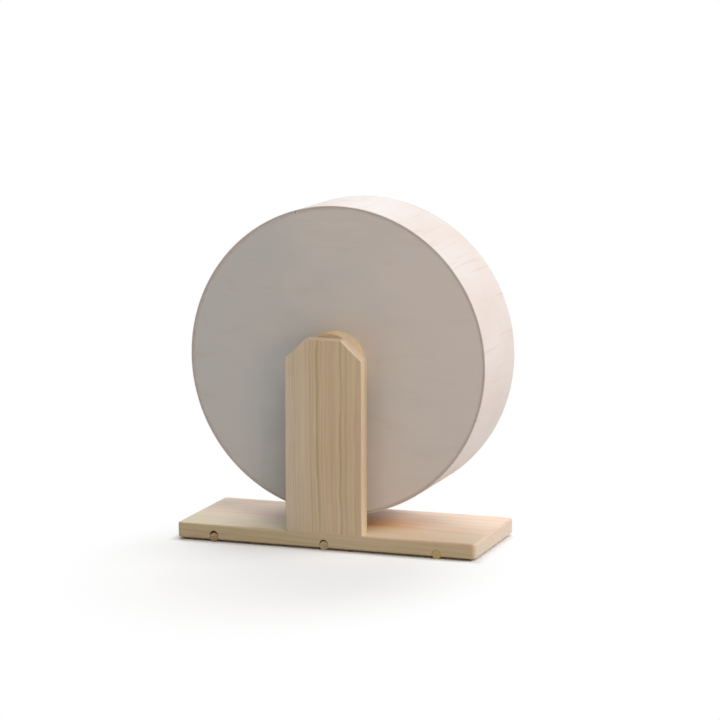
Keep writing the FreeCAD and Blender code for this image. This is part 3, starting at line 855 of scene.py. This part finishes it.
@dataclass(frozen=True)
class Metal(Finish):
    """Bare or plated metal with a slight cloudiness in its colour and polish."""

    colour: str
    shade: str
    roughness: float
    cloud_mm: float
    bump_mm: float = 0.02

    def surface(self, tree: bpy.types.NodeTree) -> dict[str, Any]:
        """Vary colour, polish and height a little over the surface.

        Args:
            tree: The material's node tree.

        Returns:
            What feeds the shader's sockets.
        """
        spot = add_node(tree, "TexCoord")
        cloud = add_node(tree, "TexNoise", {"Vector": spot.outputs["Object"],
                                            "Scale": 1 / (self.cloud_mm * MM), "Detail": 3.0})
        colour = add_node(tree, "Mix", {0: cloud.outputs["Fac"], 6: srgb(self.colour),
                                        7: srgb(self.shade)}, data_type="RGBA")
        dull = add_node(tree, "MapRange", {"Value": cloud.outputs["Fac"], "To Min": self.roughness * 0.7,
                                           "To Max": self.roughness * 1.3})
        bump = add_node(tree, "Bump", {"Height": cloud.outputs["Fac"], "Strength": 0.2,
                                       "Distance": self.bump_mm * MM})
        return {"Base Color": colour.outputs[2], "Roughness": dull.outputs[0], "Normal": bump.outputs[0],
                "Metallic": 1.0}


def pine(name: str, grain: Grain, pith: Vector, ring_mm: float, ring_show: float, pale: str = "#E4D2AE",
         dark: str = "#A98A52", rosy: str = "#DEC3A8", **details: Any) -> SolidWood:
    """Return planed pine cut from its own log.

    Args:
        name: What the board is.
        grain: Which way its fibres run.
        pith: A point on the log's pith.
        ring_mm: The growth rings' width.
        ring_show: How strongly the late wood shows.
        pale: Its early wood.
        dark: Its late wood.
        rosy: The cast of some of its years.
        details: Other fields of the finish.

    Returns:
        The finish.
    """
    # Unfinished planed pine: cream between the rings, honey late wood, a rosy cast in bands, pale ends.
    return SolidWood(f"planed_pine_{name}", pale, dark, rosy, tint="#F8EFE6", end_tone="#D4C3B0",
                     grain=grain, pith=pith, ring_mm=ring_mm, ring_show=ring_show, **details)


def beech(name: str, grain: Grain, pith: Vector, ring_show: float, pale: str, dark: str, end_tone: str,
          **details: Any) -> SolidWood:
    """Return a turned beech rod.

    Args:
        name: What the rod is.
        grain: Which way its fibres run.
        pith: A point on the log's pith.
        ring_show: How strongly the late wood shows.
        pale: Its early wood.
        dark: Its late wood.
        end_tone: The colour of its ends.
        details: Other fields of the finish.

    Returns:
        The finish.
    """
    # Beech rod: even straw colour along its side, tight arcs of darker late wood on its ends.
    return SolidWood(f"turned_beech_{name}", pale, dark, rosy="#DDBE92", tint="#F0DEC4", end_tone=end_tone,
                     grain=grain, pith=pith, ring_mm=2.6, ring_show=ring_show, **details)


# Bright zinc plate on turned steel: cool light grey, a little cloudy, with soft highlights.
ZINC = Metal("zinc_plated_steel", "#B5B8BA", "#9B9E9F", roughness=0.32, cloud_mm=3.0)
# Ground and polished bearing steel: clear bright reflections.
BEARING_STEEL = Metal("ground_bearing_steel", "#BFC2C5", "#A9ADB1", roughness=0.16, cloud_mm=2.0)
# Sheet steel from the press, as in shields and cages: greyer and duller than the races beside it.
PRESSED_STEEL = Metal("pressed_sheet_steel", "#AEB2B5", "#9A9EA1", roughness=0.34, cloud_mm=2.5)
# Turned brass: warm yellow with a satin shine.
BRASS = Metal("turned_brass", "#C6A04C", "#AD8537", roughness=0.28, cloud_mm=3.0)


def hand_over(piece: bpy.types.Object, finish: Finish, body: Body, slot: Slot,
              *nodes: str) -> bpy.types.Object:
    """Finish a piece: smooth it, dress it, let it ride, and hide the CAD nodes that it stands for.

    Args:
        piece: The modelled piece.
        finish: Its surface.
        body: The body that it moves with.
        slot: The record's material slot; not used.
        nodes: The CAD nodes that it replaces.

    Returns:
        The piece.
    """
    take(piece)
    bpy.ops.object.shade_smooth_by_angle(angle=SMOOTH_ANGLE)
    modify(piece, "WEIGHTED_NORMAL", keep_sharp=True)
    piece.data.materials.clear()
    piece.data.materials.append(finish.material())
    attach(piece, body.value)
    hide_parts(*nodes)
    LOG.info("%s: %d faces, %s, rides on %s", piece.name, len(piece.data.polygons), finish.name, body.value)
    return piece


# Sub-assemblies


@dataclass(frozen=True)
class Skid:
    """One dowel under the base: its side, the room over it in its slot, and how its wood differs."""

    side: Side
    head_room: float
    ring_show: float
    tone: str

    @property
    def node(self) -> str:
        """Return the name of its CAD node."""
        return f"skid_dowel_{self.side.value}"

    @property
    def box(self) -> Box:
        """Return the box of its CAD node."""
        return Box.of(self.node)


@dataclass
class Stand:
    """Base board, post and three skid dowels, with the holes for what joins them."""

    board: Box = box_field("base_board")
    post: Box = box_field("post")
    skids: tuple[Skid, ...] = (
        Skid(Side.LEFT, head_room=2.2 * MM, ring_show=3.2, tone="#DEC294"),
        Skid(Side.MIDDLE, head_room=1.5 * MM, ring_show=0.9, tone="#D2C096"),
        Skid(Side.RIGHT, head_room=0.15 * MM, ring_show=0.15, tone="#D8C082"),
    )
    edge_radius: float = 2 * MM
    corner_radius: float = 4.5 * MM
    edge_segments: int = 5
    arris_radius: float = 1.2 * MM
    chamfer_width: float = 21 * MM
    chamfer_height: float = 19 * MM
    skid_radius: float = 4.5 * MM
    skid_edge: float = 0.35 * MM
    skid_edge_segments: int = 3
    skid_sides: int = 64
    slot_radius: float = 4.55 * MM
    screws: Box = box_field("post_screws")
    screw_hole: float = 2.3 * MM
    screw_head: float = 4.35 * MM
    dowels: Box = box_field("post_dowels")
    dowel_hole: float = 4.05 * MM
    insert: Box = box_field("axle_insert")
    insert_hole: float = 6.05 * MM
    end_room: float = 0.5 * MM

    def build(self) -> None:
        """Make and dress every piece of the stand."""
        self.build_board()
        self.build_post()
        self.build_skids()

    def build_board(self) -> bpy.types.Object:
        """Make the base: softened edges, square under the post, slots below for the skids.

        Returns:
            The base board.
        """
        board = add_block("base_board_planed", self.board.low, self.board.high)
        round_edges(board, self.corner_radius, self.edge_segments,
                    lambda edge: abs(edge.verts[0].co.z - edge.verts[1].co.z) > NEAR)
        land = self.post.size.x / 2 - self.arris_radius
        for side in (-land, land):
            score(board, Vector((side, 0.0, 0.0)), Vector((1.0, 0.0, 0.0)))

        def on_front_arris(spot: Vector) -> bool:
            """Tell whether a place is on the top edge of the board's front."""
            return spot.y < self.board.low.y + NEAR and spot.z > self.board.high.z - NEAR

        def outer_edge(edge: Any) -> bool:
            """Accept the board's arrises except the stretch of the front one under the post.

            Args:
                edge: An edge of the board.

            Returns:
                Whether to round it.
            """
            middle = (edge.verts[0].co + edge.verts[1].co) / 2
            under_post = abs(middle.x) < land - NEAR and on_front_arris(middle)
            return edge.calc_face_angle(0.0) > SQUARE_CORNER and not under_post

        round_edges(board, self.edge_radius, self.edge_segments, outer_edge)
        with editing(board):
            pick(board, Element.EDGES, lambda edge: any(on_front_arris(vert.co) for vert in edge.verts))
            bpy.ops.mesh.mark_sharp()
        for skid in self.skids:
            carve(board, self.slot_cutter(skid))
        for spot in self.spread(self.screws, self.board.low.z):
            drill(board, spot, UP, self.screw_hole, self.board.size.z + OVERSHOOT, self.screw_head)
        for spot in self.spread(self.dowels, self.board.high.z):
            drill(board, spot, -UP, self.dowel_hole, self.board.high.z - self.dowels.low.z + self.end_room)
        # Quiet grain, rosier sapwood towards its far edge, and painted warm shade: an orange tint on the top
        # beside the post, where the drum shades the board.
        pith = Vector((0.0, self.board.low.y + 20 * MM, -50 * MM))
        finish = pine("base", Grain.ALONG_X, pith, ring_mm=6.0, ring_show=0.5, pale="#D8C9A2",
                      rosy="#DFC6A9", lean=math.radians(2), late_power=2.5, sapwood="#E9CDB2",
                      sap_from_mm=66.0, sap_width_mm=8.0, sway_mm=3.5, roughness=0.38, end_share=0.55,
                      resin="#FFDE9C", resin_place=(28 * MM, -7 * MM, self.board.high.z),
                      resin_reach=(70 * MM, 38 * MM, 12 * MM))
        return hand_over(board, finish, Body.STAND, Slot.PINE, "base_board")

    def spread(self, pair: Box, height: float) -> list[Vector]:
        """Return the places at a height of two equal round fixings, one at each end of their common box.

        Args:
            pair: The box round both fixings.
            height: The places' height.

        Returns:
            The left and the right place.
        """
        reach = pair.high.x - pair.size.y / 2
        return [Vector((side * reach, pair.middle.y, height)) for side in (-1.0, 1.0)]

    def slot_cutter(self, skid: Skid) -> bpy.types.Object:
        """Make the round-topped bar that cuts one skid's slot.

        Args:
            skid: The skid.

        Returns:
            The cutter.
        """
        spare = Vector((0.0, 5 * MM, 0.0))
        height = skid.box.high.z - self.skid_radius + skid.head_room
        across = (self.board.low.y, self.board.high.y)
        start, end = (Vector((skid.box.middle.x, y, height)) for y in across)
        cutter = add_rod(f"slot_{skid.side.value}", start - spare, end + spare, self.slot_radius)
        slice_off(cutter, start, -UP)
        with editing(cutter):
            pick(cutter, Element.FACES, lambda face: -face.normal.z > LOOKS_DOWN)
            bpy.ops.mesh.extrude_region_move(TRANSFORM_OT_translate={"value": -UP * 3 * self.slot_radius})
        tidy_shell(cutter)
        return cutter

    def build_post(self) -> bpy.types.Object:
        """Make the post: clipped top corners and softened arrises.

        Returns:
            The post.
        """
        post = add_block("post_planed", self.post.low, self.post.high)
        shoulder = self.post.high.z - self.chamfer_height
        for side, x in ((-1.0, self.post.low.x), (1.0, self.post.high.x)):
            outward = Vector((side * self.chamfer_height, 0.0, self.chamfer_width))
            slice_off(post, Vector((x, 0.0, shoulder)), outward)
        foot = self.post.low.z + NEAR
        round_edges(post, self.arris_radius, self.edge_segments,
                    lambda edge: edge.calc_face_angle(0.0) > CLIPPED_CORNER
                    and max(vert.co.z for vert in edge.verts) > foot)
        for pair, radius in ((self.screws, self.screw_hole), (self.dowels, self.dowel_hole)):
            for spot in self.spread(pair, self.post.low.z):
                drill(post, spot, UP, radius, pair.high.z - self.post.low.z + self.end_room)
        drill(post, Vector((AXLE.x, self.post.high.y, AXLE.z)), -INTO_DRUM, self.insert_hole,
              self.insert.size.y + self.end_room)
        # Narrow upright stripes, with pale sapwood along the left edge.
        pith = Vector((self.post.high.x + 32 * MM, self.post.low.y + 62 * MM, 0.0))
        finish = pine("post", Grain.ALONG_Z, pith, ring_mm=3.3, ring_show=0.85, dark="#9A8250",
                      late_power=4.0, sap_from_mm=95.0, sway_mm=2.6, sway_run_mm=75.0)
        return hand_over(post, finish, Body.STAND, Slot.PINE, "post")

    def build_skids(self) -> None:
        """Make one skid dowel, planed flat below, and copy it to its three places."""
        first = self.skids[0].box
        centre = first.high.z - self.skid_radius
        front, back = (Vector((first.middle.x, y, centre)) for y in (first.low.y, first.high.y))
        model = add_rod("skid_dowel_beech_left", front, back, self.skid_radius, sides=self.skid_sides)
        slice_off(model, Vector((0.0, 0.0, first.low.z)), -UP)
        round_edges(model, self.skid_edge, self.skid_edge_segments,
                    lambda edge: all(vert.co.y < front.y + NEAR for vert in edge.verts)
                    or all(vert.co.y > back.y - NEAR for vert in edge.verts))
        tidy_shell(model)
        for skid in self.skids:
            piece = model
            side = skid.side.value
            if skid.side is not Side.LEFT:
                piece = duplicate(model, f"skid_dowel_beech_{side}", skid.box.middle - first.middle)
            pith = skid.box.middle + Vector((6 * MM, 0.0, -26 * MM))
            finish = beech(f"skid_{side}", Grain.ALONG_Y, pith, skid.ring_show, pale=skid.tone,
                           dark="#4A3216", end_tone=skid.tone, band_show=0.0, late_power=1.8, end_share=0.2,
                           sway_mm=0.5, fibre_mm=1.0, fibre_run_mm=18.0, cloud_mm=14.0)
            hand_over(piece, finish, Body.STAND, Slot.BEECH, skid.node)


@dataclass
class Drum:
    """Back disc, bent rim with its seam, the strip behind the seam, cork running strip and front ring."""

    disc: Box = box_field("back_disc")
    rim: Box = box_field("rim")
    ring: Box = box_field("front_ring")
    liner: Box = box_field("cork_liner")
    bore_radius: float = 9 * MM
    rim_thickness: float = 3 * MM
    rim_edge: float = 0.5 * MM
    disc_edge: float = 0.4 * MM
    ring_width: float = 24 * MM
    mouth_radius: float = 2 * MM
    liner_thickness: float = 2 * MM
    seam_angle: float = math.radians(106)
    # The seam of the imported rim, 0.8 mm, is too fine to show in the render.
    seam_gap: float = 1.8 * MM
    strip_width: float = 30 * MM
    strip_steps: int = 24
    liner_gap: float = 0.3 * MM
    screws: ScrewRing = ScrewRing()
    steps: int = 240

    def build(self) -> None:
        """Make and dress every piece of the drum."""
        self.build_disc()
        self.build_rim()
        self.build_lining()
        self.build_ring()

    def build_disc(self) -> bpy.types.Object:
        """Make the closed back of the drum.

        Returns:
            The back disc.
        """
        radius, back, floor = self.disc.high.x, self.disc.low.y, self.disc.high.y
        profile = [
            Turning(self.bore_radius, back),
            Turning(radius, back, self.disc_edge),
            Turning(radius, floor),
            Turning(self.bore_radius, floor),
        ]
        disc = turn_on_axle("back_disc_sanded", profile, self.steps, fillet_segments=2)
        for spot in self.screws.places(back):
            drill(disc, spot, INTO_DRUM, self.screws.hole_radius, self.disc.size.y + OVERSHOOT)
        return hand_over(disc, self.flat_sheet("back", back, floor), Body.WHEEL, Slot.PLYWOOD, "back_disc")

    def flat_sheet(self, name: str, back: float, front: float) -> Plywood:
        """Return flat plywood whose veneers lie between two places along the axle.

        Args:
            name: What the sheet is.
            back: The place of its face towards the post.
            front: The place of its other face.

        Returns:
            The finish.
        """
        # Sanded poplar plywood: pale cream, hardly any grain or sheen, cooler clouds towards one side:
        # leaning to the left, they are painted shade, leaving the right warmer as if under warm light from
        # the right.
        return Plywood(f"sanded_poplar_plywood_{name}", face="#E4DDD7", core="#DCCFC0", glue="#B09B84",
                       tint="#EFF6F9", vein="#F1E9E0", grain=Grain.ALONG_X, layers=Layers.FLAT, inside=back,
                       outside=front, ply_count=5, vein_show=0.18, painted_shade_lean=(-2.0, 0.0, 0.0))

    def bent_sheet(self, inner: float, outer: float) -> Plywood:
        """Return bending plywood whose veneers lie between two radii.

        Args:
            inner: The radius of its inside.
            outer: The radius of its outside.

        Returns:
            The finish.
        """
        # Bending plywood: very pale cream, faint rosy veins straight across it, three veneers at its edge.
        return Plywood(f"bent_poplar_plywood_{round(outer / MM)}", face="#E3DBD8", core="#CFC8C2",
                       glue="#9A8F87", tint="#F9F3ED", vein="#EAD6C2", grain=Grain.ALONG_Y,
                       layers=Layers.BENT, inside=inner, outside=outer, ply_count=3, vein_show=0.42,
                       grain_mm=3.0, grain_run_mm=90.0, vein_mm=7.0, vein_run_mm=110.0)

    def build_rim(self) -> bpy.types.Object:
        """Bend the rim round the disc, leaving the open butt seam.

        Returns:
            The rim.
        """
        outer = self.rim.high.x
        inner = outer - self.rim_thickness
        profile = [
            Turning(inner, self.rim.low.y),
            Turning(outer, self.rim.low.y, self.rim_edge),
            Turning(outer, self.rim.high.y, self.rim_edge),
            Turning(inner, self.rim.high.y, self.rim_edge),
        ]
        gap = self.seam_gap / outer
        rim = turn_on_axle("rim_bent", profile, self.steps, self.seam_angle + gap / 2, math.tau - gap,
                           fillet_segments=3)
        return hand_over(rim, self.bent_sheet(inner, outer), Body.WHEEL, Slot.BENDING_PLYWOOD, "rim")

    def build_lining(self) -> None:
        """Lay the cork strip round the inside and the plywood strip behind the rim's seam."""
        outer = self.liner.high.z - AXLE.z
        inner = outer - self.liner_thickness
        profile = [
            Turning(inner, self.liner.low.y),
            Turning(outer, self.liner.low.y),
            Turning(outer, self.liner.high.y),
            Turning(inner, self.liner.high.y),
        ]
        bore = self.rim.high.x - self.rim_thickness
        wide = self.strip_width / bore
        gap = self.liner_gap / bore
        strip = turn_on_axle("seam_strip_bent", profile, self.strip_steps, self.seam_angle - wide / 2, wide)
        hand_over(strip, self.bent_sheet(inner, outer), Body.WHEEL, Slot.BENDING_PLYWOOD, "rim_seam_strip")
        cork = turn_on_axle("cork_running_strip", profile, self.steps, self.seam_angle + wide / 2 + gap,
                            math.tau - wide - 2 * gap)
        # Pressed cork: brown crumbs of several shades with darker gaps, without any shine.
        hand_over(cork, PressedCork("pressed_cork"), Body.WHEEL, Slot.CORK, "cork_liner")

    def build_ring(self) -> bpy.types.Object:
        """Make the lip round the drum's open front.

        Returns:
            The front ring.
        """
        outer, back, front = self.ring.high.x, self.ring.low.y, self.ring.high.y
        inner = outer - self.ring_width
        profile = [
            Turning(inner, back, self.mouth_radius),
            Turning(outer, back),
            Turning(outer, front, self.disc_edge),
            Turning(inner, front, self.mouth_radius),
        ]
        ring = turn_on_axle("front_ring_sanded", profile, self.steps)
        return hand_over(ring, self.flat_sheet("ring", back, front), Body.WHEEL, Slot.PLYWOOD, "front_ring")


@dataclass
class Hub:
    """The thick block outside the drum, the disc inside it and the cap over the bolt."""

    block: Box = box_field("hub_block")
    inner: Box = box_field("inner_hub_disc")
    cap: Box = box_field("hub_cap")
    bearing_radius: float = 11.05 * MM
    bearing_width: float = 7 * MM
    bore_radius: float = 9 * MM
    edge_break: float = 1 * MM
    cap_cavity: float = 12 * MM
    cap_top: float = 4 * MM
    cap_edge: float = 3 * MM
    screws: ScrewRing = ScrewRing()
    steps: int = 120

    def build(self) -> None:
        """Make and dress every piece of the hub."""
        self.build_block()
        self.build_inner_disc()
        self.build_cap()

    def build_block(self) -> bpy.types.Object:
        """Turn the block between post and drum, with the pocket for its bearing.

        Returns:
            The hub block.
        """
        radius, face, back = self.block.high.x, self.block.low.y, self.block.high.y
        pocket = face + self.bearing_width
        profile = [
            Turning(self.bearing_radius, face),
            Turning(radius, face, self.edge_break),
            Turning(radius, back),
            Turning(self.bore_radius, back),
            Turning(self.bore_radius, pocket),
            Turning(self.bearing_radius, pocket),
        ]
        block = turn_on_axle("hub_block_turned", profile, self.steps, fillet_segments=3)
        for spot in self.screws.places(back):
            drill(block, spot, -INTO_DRUM, self.screws.hole_radius, self.screws.bite)
        pith = AXLE + Vector((0.0, -30 * MM, 14 * MM))
        finish = pine("hub", Grain.ALONG_X, pith, ring_mm=4.5, ring_show=0.4, pale="#FBE2B6", end_share=0.1)
        return hand_over(block, finish, Body.WHEEL, Slot.PINE, "hub_block")

    def build_inner_disc(self) -> bpy.types.Object:
        """Turn the disc that clamps the drum's back from inside.

        Returns:
            The inner hub disc.
        """
        radius, floor, face = self.inner.high.x, self.inner.low.y, self.inner.high.y
        pocket = face - self.bearing_width
        profile = [
            Turning(self.bore_radius, floor),
            Turning(radius, floor),
            Turning(radius, face, self.edge_break),
            Turning(self.bearing_radius, face),
            Turning(self.bearing_radius, pocket),
            Turning(self.bore_radius, pocket),
        ]
        disc = turn_on_axle("inner_hub_disc_turned", profile, self.steps, fillet_segments=3)
        for spot in self.screws.places(face):
            drill(disc, spot, -INTO_DRUM, self.screws.hole_radius, self.inner.size.y + OVERSHOOT,
                  self.screws.head_radius)
        pith = AXLE + Vector((0.0, 30 * MM, -20 * MM))
        finish = pine("inner_hub", Grain.ALONG_X, pith, ring_mm=4.5, ring_show=0.6)
        return hand_over(disc, finish, Body.WHEEL, Slot.PINE, "inner_hub_disc")

    def build_cap(self) -> bpy.types.Object:
        """Turn the hollow cap with a rounded rim.

        Returns:
            The hub cap.
        """
        radius, foot, crown = self.cap.high.x, self.cap.low.y, self.cap.high.y
        ceiling = crown - self.cap_top
        profile = [
            Turning(self.cap_cavity, foot),
            Turning(radius, foot),
            Turning(radius, crown, self.cap_edge),
            Turning(0.0, crown),
            Turning(0.0, ceiling),
            Turning(self.cap_cavity, ceiling),
        ]
        cap = turn_on_axle("hub_cap_turned", profile, self.steps)
        pith = AXLE + Vector((-34 * MM, 20 * MM, 0.0))
        finish = pine("cap", Grain.ALONG_Z, pith, ring_mm=4.0, ring_show=0.6)
        return hand_over(cap, finish, Body.WHEEL, Slot.PINE, "hub_cap")


@dataclass
class Ironwork:
    """The CAD nodes that keep their shape: bolt, insert, washers, bearings, screws and hidden dowels."""

    finishes: dict[str, Finish] = field(default_factory=lambda: {
        "axle_bolt": ZINC,
        "post_washer": ZINC,
        "race_shim": ZINC,
        "bearing_spacer": ZINC,
        "bolt_washer": ZINC,
        "hub_screws": ZINC,
        "post_screws": ZINC,
        "axle_insert": BRASS,
        "post_dowels": beech("post_dowels", Grain.ALONG_Z, Vector((0.0, 0.0, 0.0)), ring_show=0.7,
                             pale="#DDC28F", dark="#A87F4A", end_tone="#D8C084"),
    })
    bearings: tuple[str, str] = ("post_bearing", "drum_bearing")

    def dress(self) -> None:
        """Give each kept node its finish."""
        kept = dict(self.finishes)
        for bearing in self.bearings:
            for ground in ("outer_race", "inner_race", "balls"):
                kept[f"{bearing}_{ground}"] = BEARING_STEEL
            for pressed in ("cage", "shields"):
                kept[f"{bearing}_{pressed}"] = PRESSED_STEEL
        for node, finish in kept.items():
            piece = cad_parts[node]
            piece.data.materials.clear()
            piece.data.materials.append(finish.material())
            LOG.info("%s: kept from the frame, %s", node, finish.name)


# Floor, light and camera


@dataclass(frozen=True)
class Lamp:
    """One square soft lamp, placed by the direction in which the object sees it."""

    name: str
    azimuth: float
    elevation: float
    power: float
    colour: str = "#FFFFFF"
    distance: float = 6.0
    size: float = 1.8

    def hang(self, aim: Vector) -> None:
        """Hang the lamp so that it shines on a point.

        Args:
            aim: The point.
        """
        flat = math.cos(self.elevation)
        away = Vector((math.cos(self.azimuth) * flat, math.sin(self.azimuth) * flat,
                       math.sin(self.elevation)))
        clear_selection()
        bpy.ops.object.light_add(type="AREA", location=aim + away * self.distance,
                                 rotation=away.to_track_quat("Z", "Y").to_euler())
        lamp = bpy.context.active_object
        lamp.name = self.name
        lamp.data.size = self.size
        lamp.data.energy = self.power
        lamp.data.color = srgb(self.colour)[:3]


@dataclass
class Studio:
    """A plain pale floor, soft light from the right, behind and in front, and the photograph's camera."""

    floor_size: float = 12.0
    floor_colour: str = "#FAFAFA"
    floor_bounce: str = "#CACACA"
    # The oval in front of the base where the floor shows its shading before it turns white.
    pool_place: Vector = field(default_factory=lambda: Vector((-0.01, -0.14, 0.0)))
    pool_size: Vector = field(default_factory=lambda: Vector((0.22, 0.29, 1.0)))
    white_least: float = 0.4
    white_from: float = 0.35
    white_to: float = 1.0
    footprint: Vector = field(default_factory=lambda: Box.of("base_board").high)
    contact_width: float = 10 * MM
    opening_inset: float = 15 * MM
    ambient: float = 0.112
    lamps: tuple[Lamp, ...] = (
        Lamp("key_right", math.radians(18), math.radians(36), 195.0),
        Lamp("low_right", 0.0, math.radians(3), 25.0),
        Lamp("rear_left", math.radians(117), math.radians(44), 164.0, size=3.5),
        Lamp("soft_front", math.radians(-55), math.radians(55), 116.0, size=3.0),
        Lamp("warm_low", math.radians(-40), math.radians(9), 12.5, "#FFCA94", distance=3.0, size=0.9),
    )
    lens_mm: float = 145.8
    sensor_mm: float = 36.0
    target: Vector = field(default_factory=lambda: Vector((15.44 * MM, 0.0, 175.78 * MM)))
    distance: float = 2.8151
    azimuth: float = math.radians(19.638)
    elevation: float = math.radians(9.321)
    roll: float = math.radians(-0.181)

    def build(self) -> None:
        """Make the floor, the world, the lamps and the camera."""
        scene = bpy.context.scene
        scene.view_settings.view_transform = "Standard"
        self.build_floor()
        self.build_world(scene)
        for lamp in self.lamps:
            lamp.hang(self.target)
        self.build_camera(scene)

    def shows_backdrop(self, tree: bpy.types.NodeTree) -> bpy.types.NodeSocket:
        """Return a socket that is 1 for rays that see the backdrop: straight, mirrored or through glass.

        Args:
            tree: The node tree of the floor or the world.

        Returns:
            The socket.
        """
        path = add_node(tree, "LightPath").outputs
        either = add_node(tree, "Math", {0: path["Is Camera Ray"], 1: path["Is Glossy Ray"]},
                          operation="MAXIMUM")
        seen = add_node(tree, "Math", {0: either.outputs[0], 1: path["Is Transmission Ray"]},
                        operation="MAXIMUM")
        return seen.outputs[0]

    def build_floor(self) -> None:
        """Lay a pale floor that keeps the object's shadow and turns white further away."""
        clear_selection()
        bpy.ops.mesh.primitive_plane_add(size=self.floor_size)
        floor = settle("studio_floor")
        # Matt background paper: soft shadows close to the object, plain white further away.
        paper = bpy.data.materials.new("matt_studio_paper")
        paper.use_nodes = True
        tree = paper.node_tree
        spot = add_node(tree, "TexCoord")
        pool = add_node(tree, "Mapping", {"Vector": spot.outputs["Object"], "Location": self.pool_place,
                                          "Scale": self.pool_size}, vector_type="TEXTURE")
        away = add_node(tree, "VectorMath", {0: pool.outputs[0]}, operation="LENGTH")
        fade = add_node(tree, "MapRange", {"Value": away.outputs["Value"], "From Min": self.white_from,
                                           "From Max": self.white_to, "To Min": self.white_least},
                        interpolation_type="SMOOTHSTEP")
        # Close to the base the paper stays as it is, so that the dark line under the board remains.
        folded = add_node(tree, "VectorMath", {0: spot.outputs["Object"]}, operation="ABSOLUTE")
        past = add_node(tree, "VectorMath", {0: folded.outputs[0], 1: self.footprint}, operation="SUBTRACT")
        outside = add_node(tree, "VectorMath", {0: past.outputs[0], 1: (0.0, 0.0, 0.0)},
                           operation="MAXIMUM")
        gap = add_node(tree, "VectorMath", {0: outside.outputs[0]}, operation="LENGTH")
        clear_of = add_node(tree, "MapRange", {"Value": gap.outputs["Value"],
                                               "From Max": self.contact_width},
                            interpolation_type="SMOOTHSTEP")
        seen = self.shows_backdrop(tree)
        open_floor = add_node(tree, "Math", {0: fade.outputs[0], 1: clear_of.outputs[0]},
                              operation="MULTIPLY")
        whiten = add_node(tree, "Math", {0: open_floor.outputs[0], 1: seen}, operation="MULTIPLY")
        shade = add_node(tree, "Mix", {0: seen, 6: srgb(self.floor_bounce), 7: srgb(self.floor_colour)},
                         data_type="RGBA")
        matt = add_node(tree, "BsdfDiffuse", {"Color": shade.outputs[2]})
        white = add_node(tree, "Emission")
        sheet = add_node(tree, "MixShader", {0: whiten.outputs[0], 1: matt.outputs[0], 2: white.outputs[0]})
        # The floor is clear from below and open under the board, so that the underside is seen and lit.
        side = add_node(tree, "NewGeometry")
        inside = add_node(tree, "VectorMath", {0: past.outputs[0], 1: (self.opening_inset,) * 3},
                          operation="ADD")
        within = add_node(tree, "SeparateXYZ", {0: inside.outputs[0]})
        beyond = add_node(tree, "Math", {0: within.outputs["X"], 1: within.outputs["Y"]},
                          operation="MAXIMUM")
        under = add_node(tree, "Math", {0: beyond.outputs[0], 1: 0.0}, operation="LESS_THAN")
        open_to = add_node(tree, "Math", {0: under.outputs[0], 1: side.outputs["Backfacing"]},
                           operation="MAXIMUM")
        clear = add_node(tree, "BsdfTransparent")
        both = add_node(tree, "MixShader", {0: open_to.outputs[0], 1: sheet.outputs[0],
                                            2: clear.outputs[0]})
        feed(tree, tree.nodes["Material Output"], {"Surface": both.outputs[0]})
        floor.data.materials.append(paper)

    def build_world(self, scene: bpy.types.Scene) -> None:
        """Surround the object with even light that the camera and reflections see as white.

        Args:
            scene: The scene that gets the world.
        """
        world = bpy.data.worlds.new("white_studio")
        world.use_nodes = True
        tree = world.node_tree
        fill = add_node(tree, "Background", {"Color": srgb("#FFFFFF"), "Strength": self.ambient})
        white = add_node(tree, "Background", {"Color": srgb("#FFFFFF"), "Strength": 1.0})
        both = add_node(tree, "MixShader", {0: self.shows_backdrop(tree), 1: fill.outputs[0],
                                            2: white.outputs[0]})
        feed(tree, tree.nodes["World Output"], {"Surface": both.outputs[0]})
        scene.world = world

    def build_camera(self, scene: bpy.types.Scene) -> None:
        """Set the camera at the photograph's viewing angle.

        Args:
            scene: The scene that gets the camera.
        """
        flat = math.cos(self.elevation)
        back = Vector((math.sin(self.azimuth) * flat, -math.cos(self.azimuth) * flat,
                       math.sin(self.elevation)))
        turn = (-back).to_track_quat("-Z", "Y").to_matrix() @ Matrix.Rotation(self.roll, 3, "Z")
        clear_selection()
        bpy.ops.object.camera_add(location=self.target + back * self.distance, rotation=turn.to_euler())
        camera = bpy.context.active_object
        camera.name = "photo_camera"
        camera.data.lens = self.lens_mm
        camera.data.sensor_width = self.sensor_mm
        scene.camera = camera


def main() -> None:
    """Build the object round the frame, then the studio."""
    logging.basicConfig(level=logging.INFO, format="%(name)s: %(message)s")
    for sub_assembly in (Stand(), Drum(), Hub()):
        sub_assembly.build()
    Ironwork().dress()
    Studio().build()


if __name__ == "__main__":
    main()
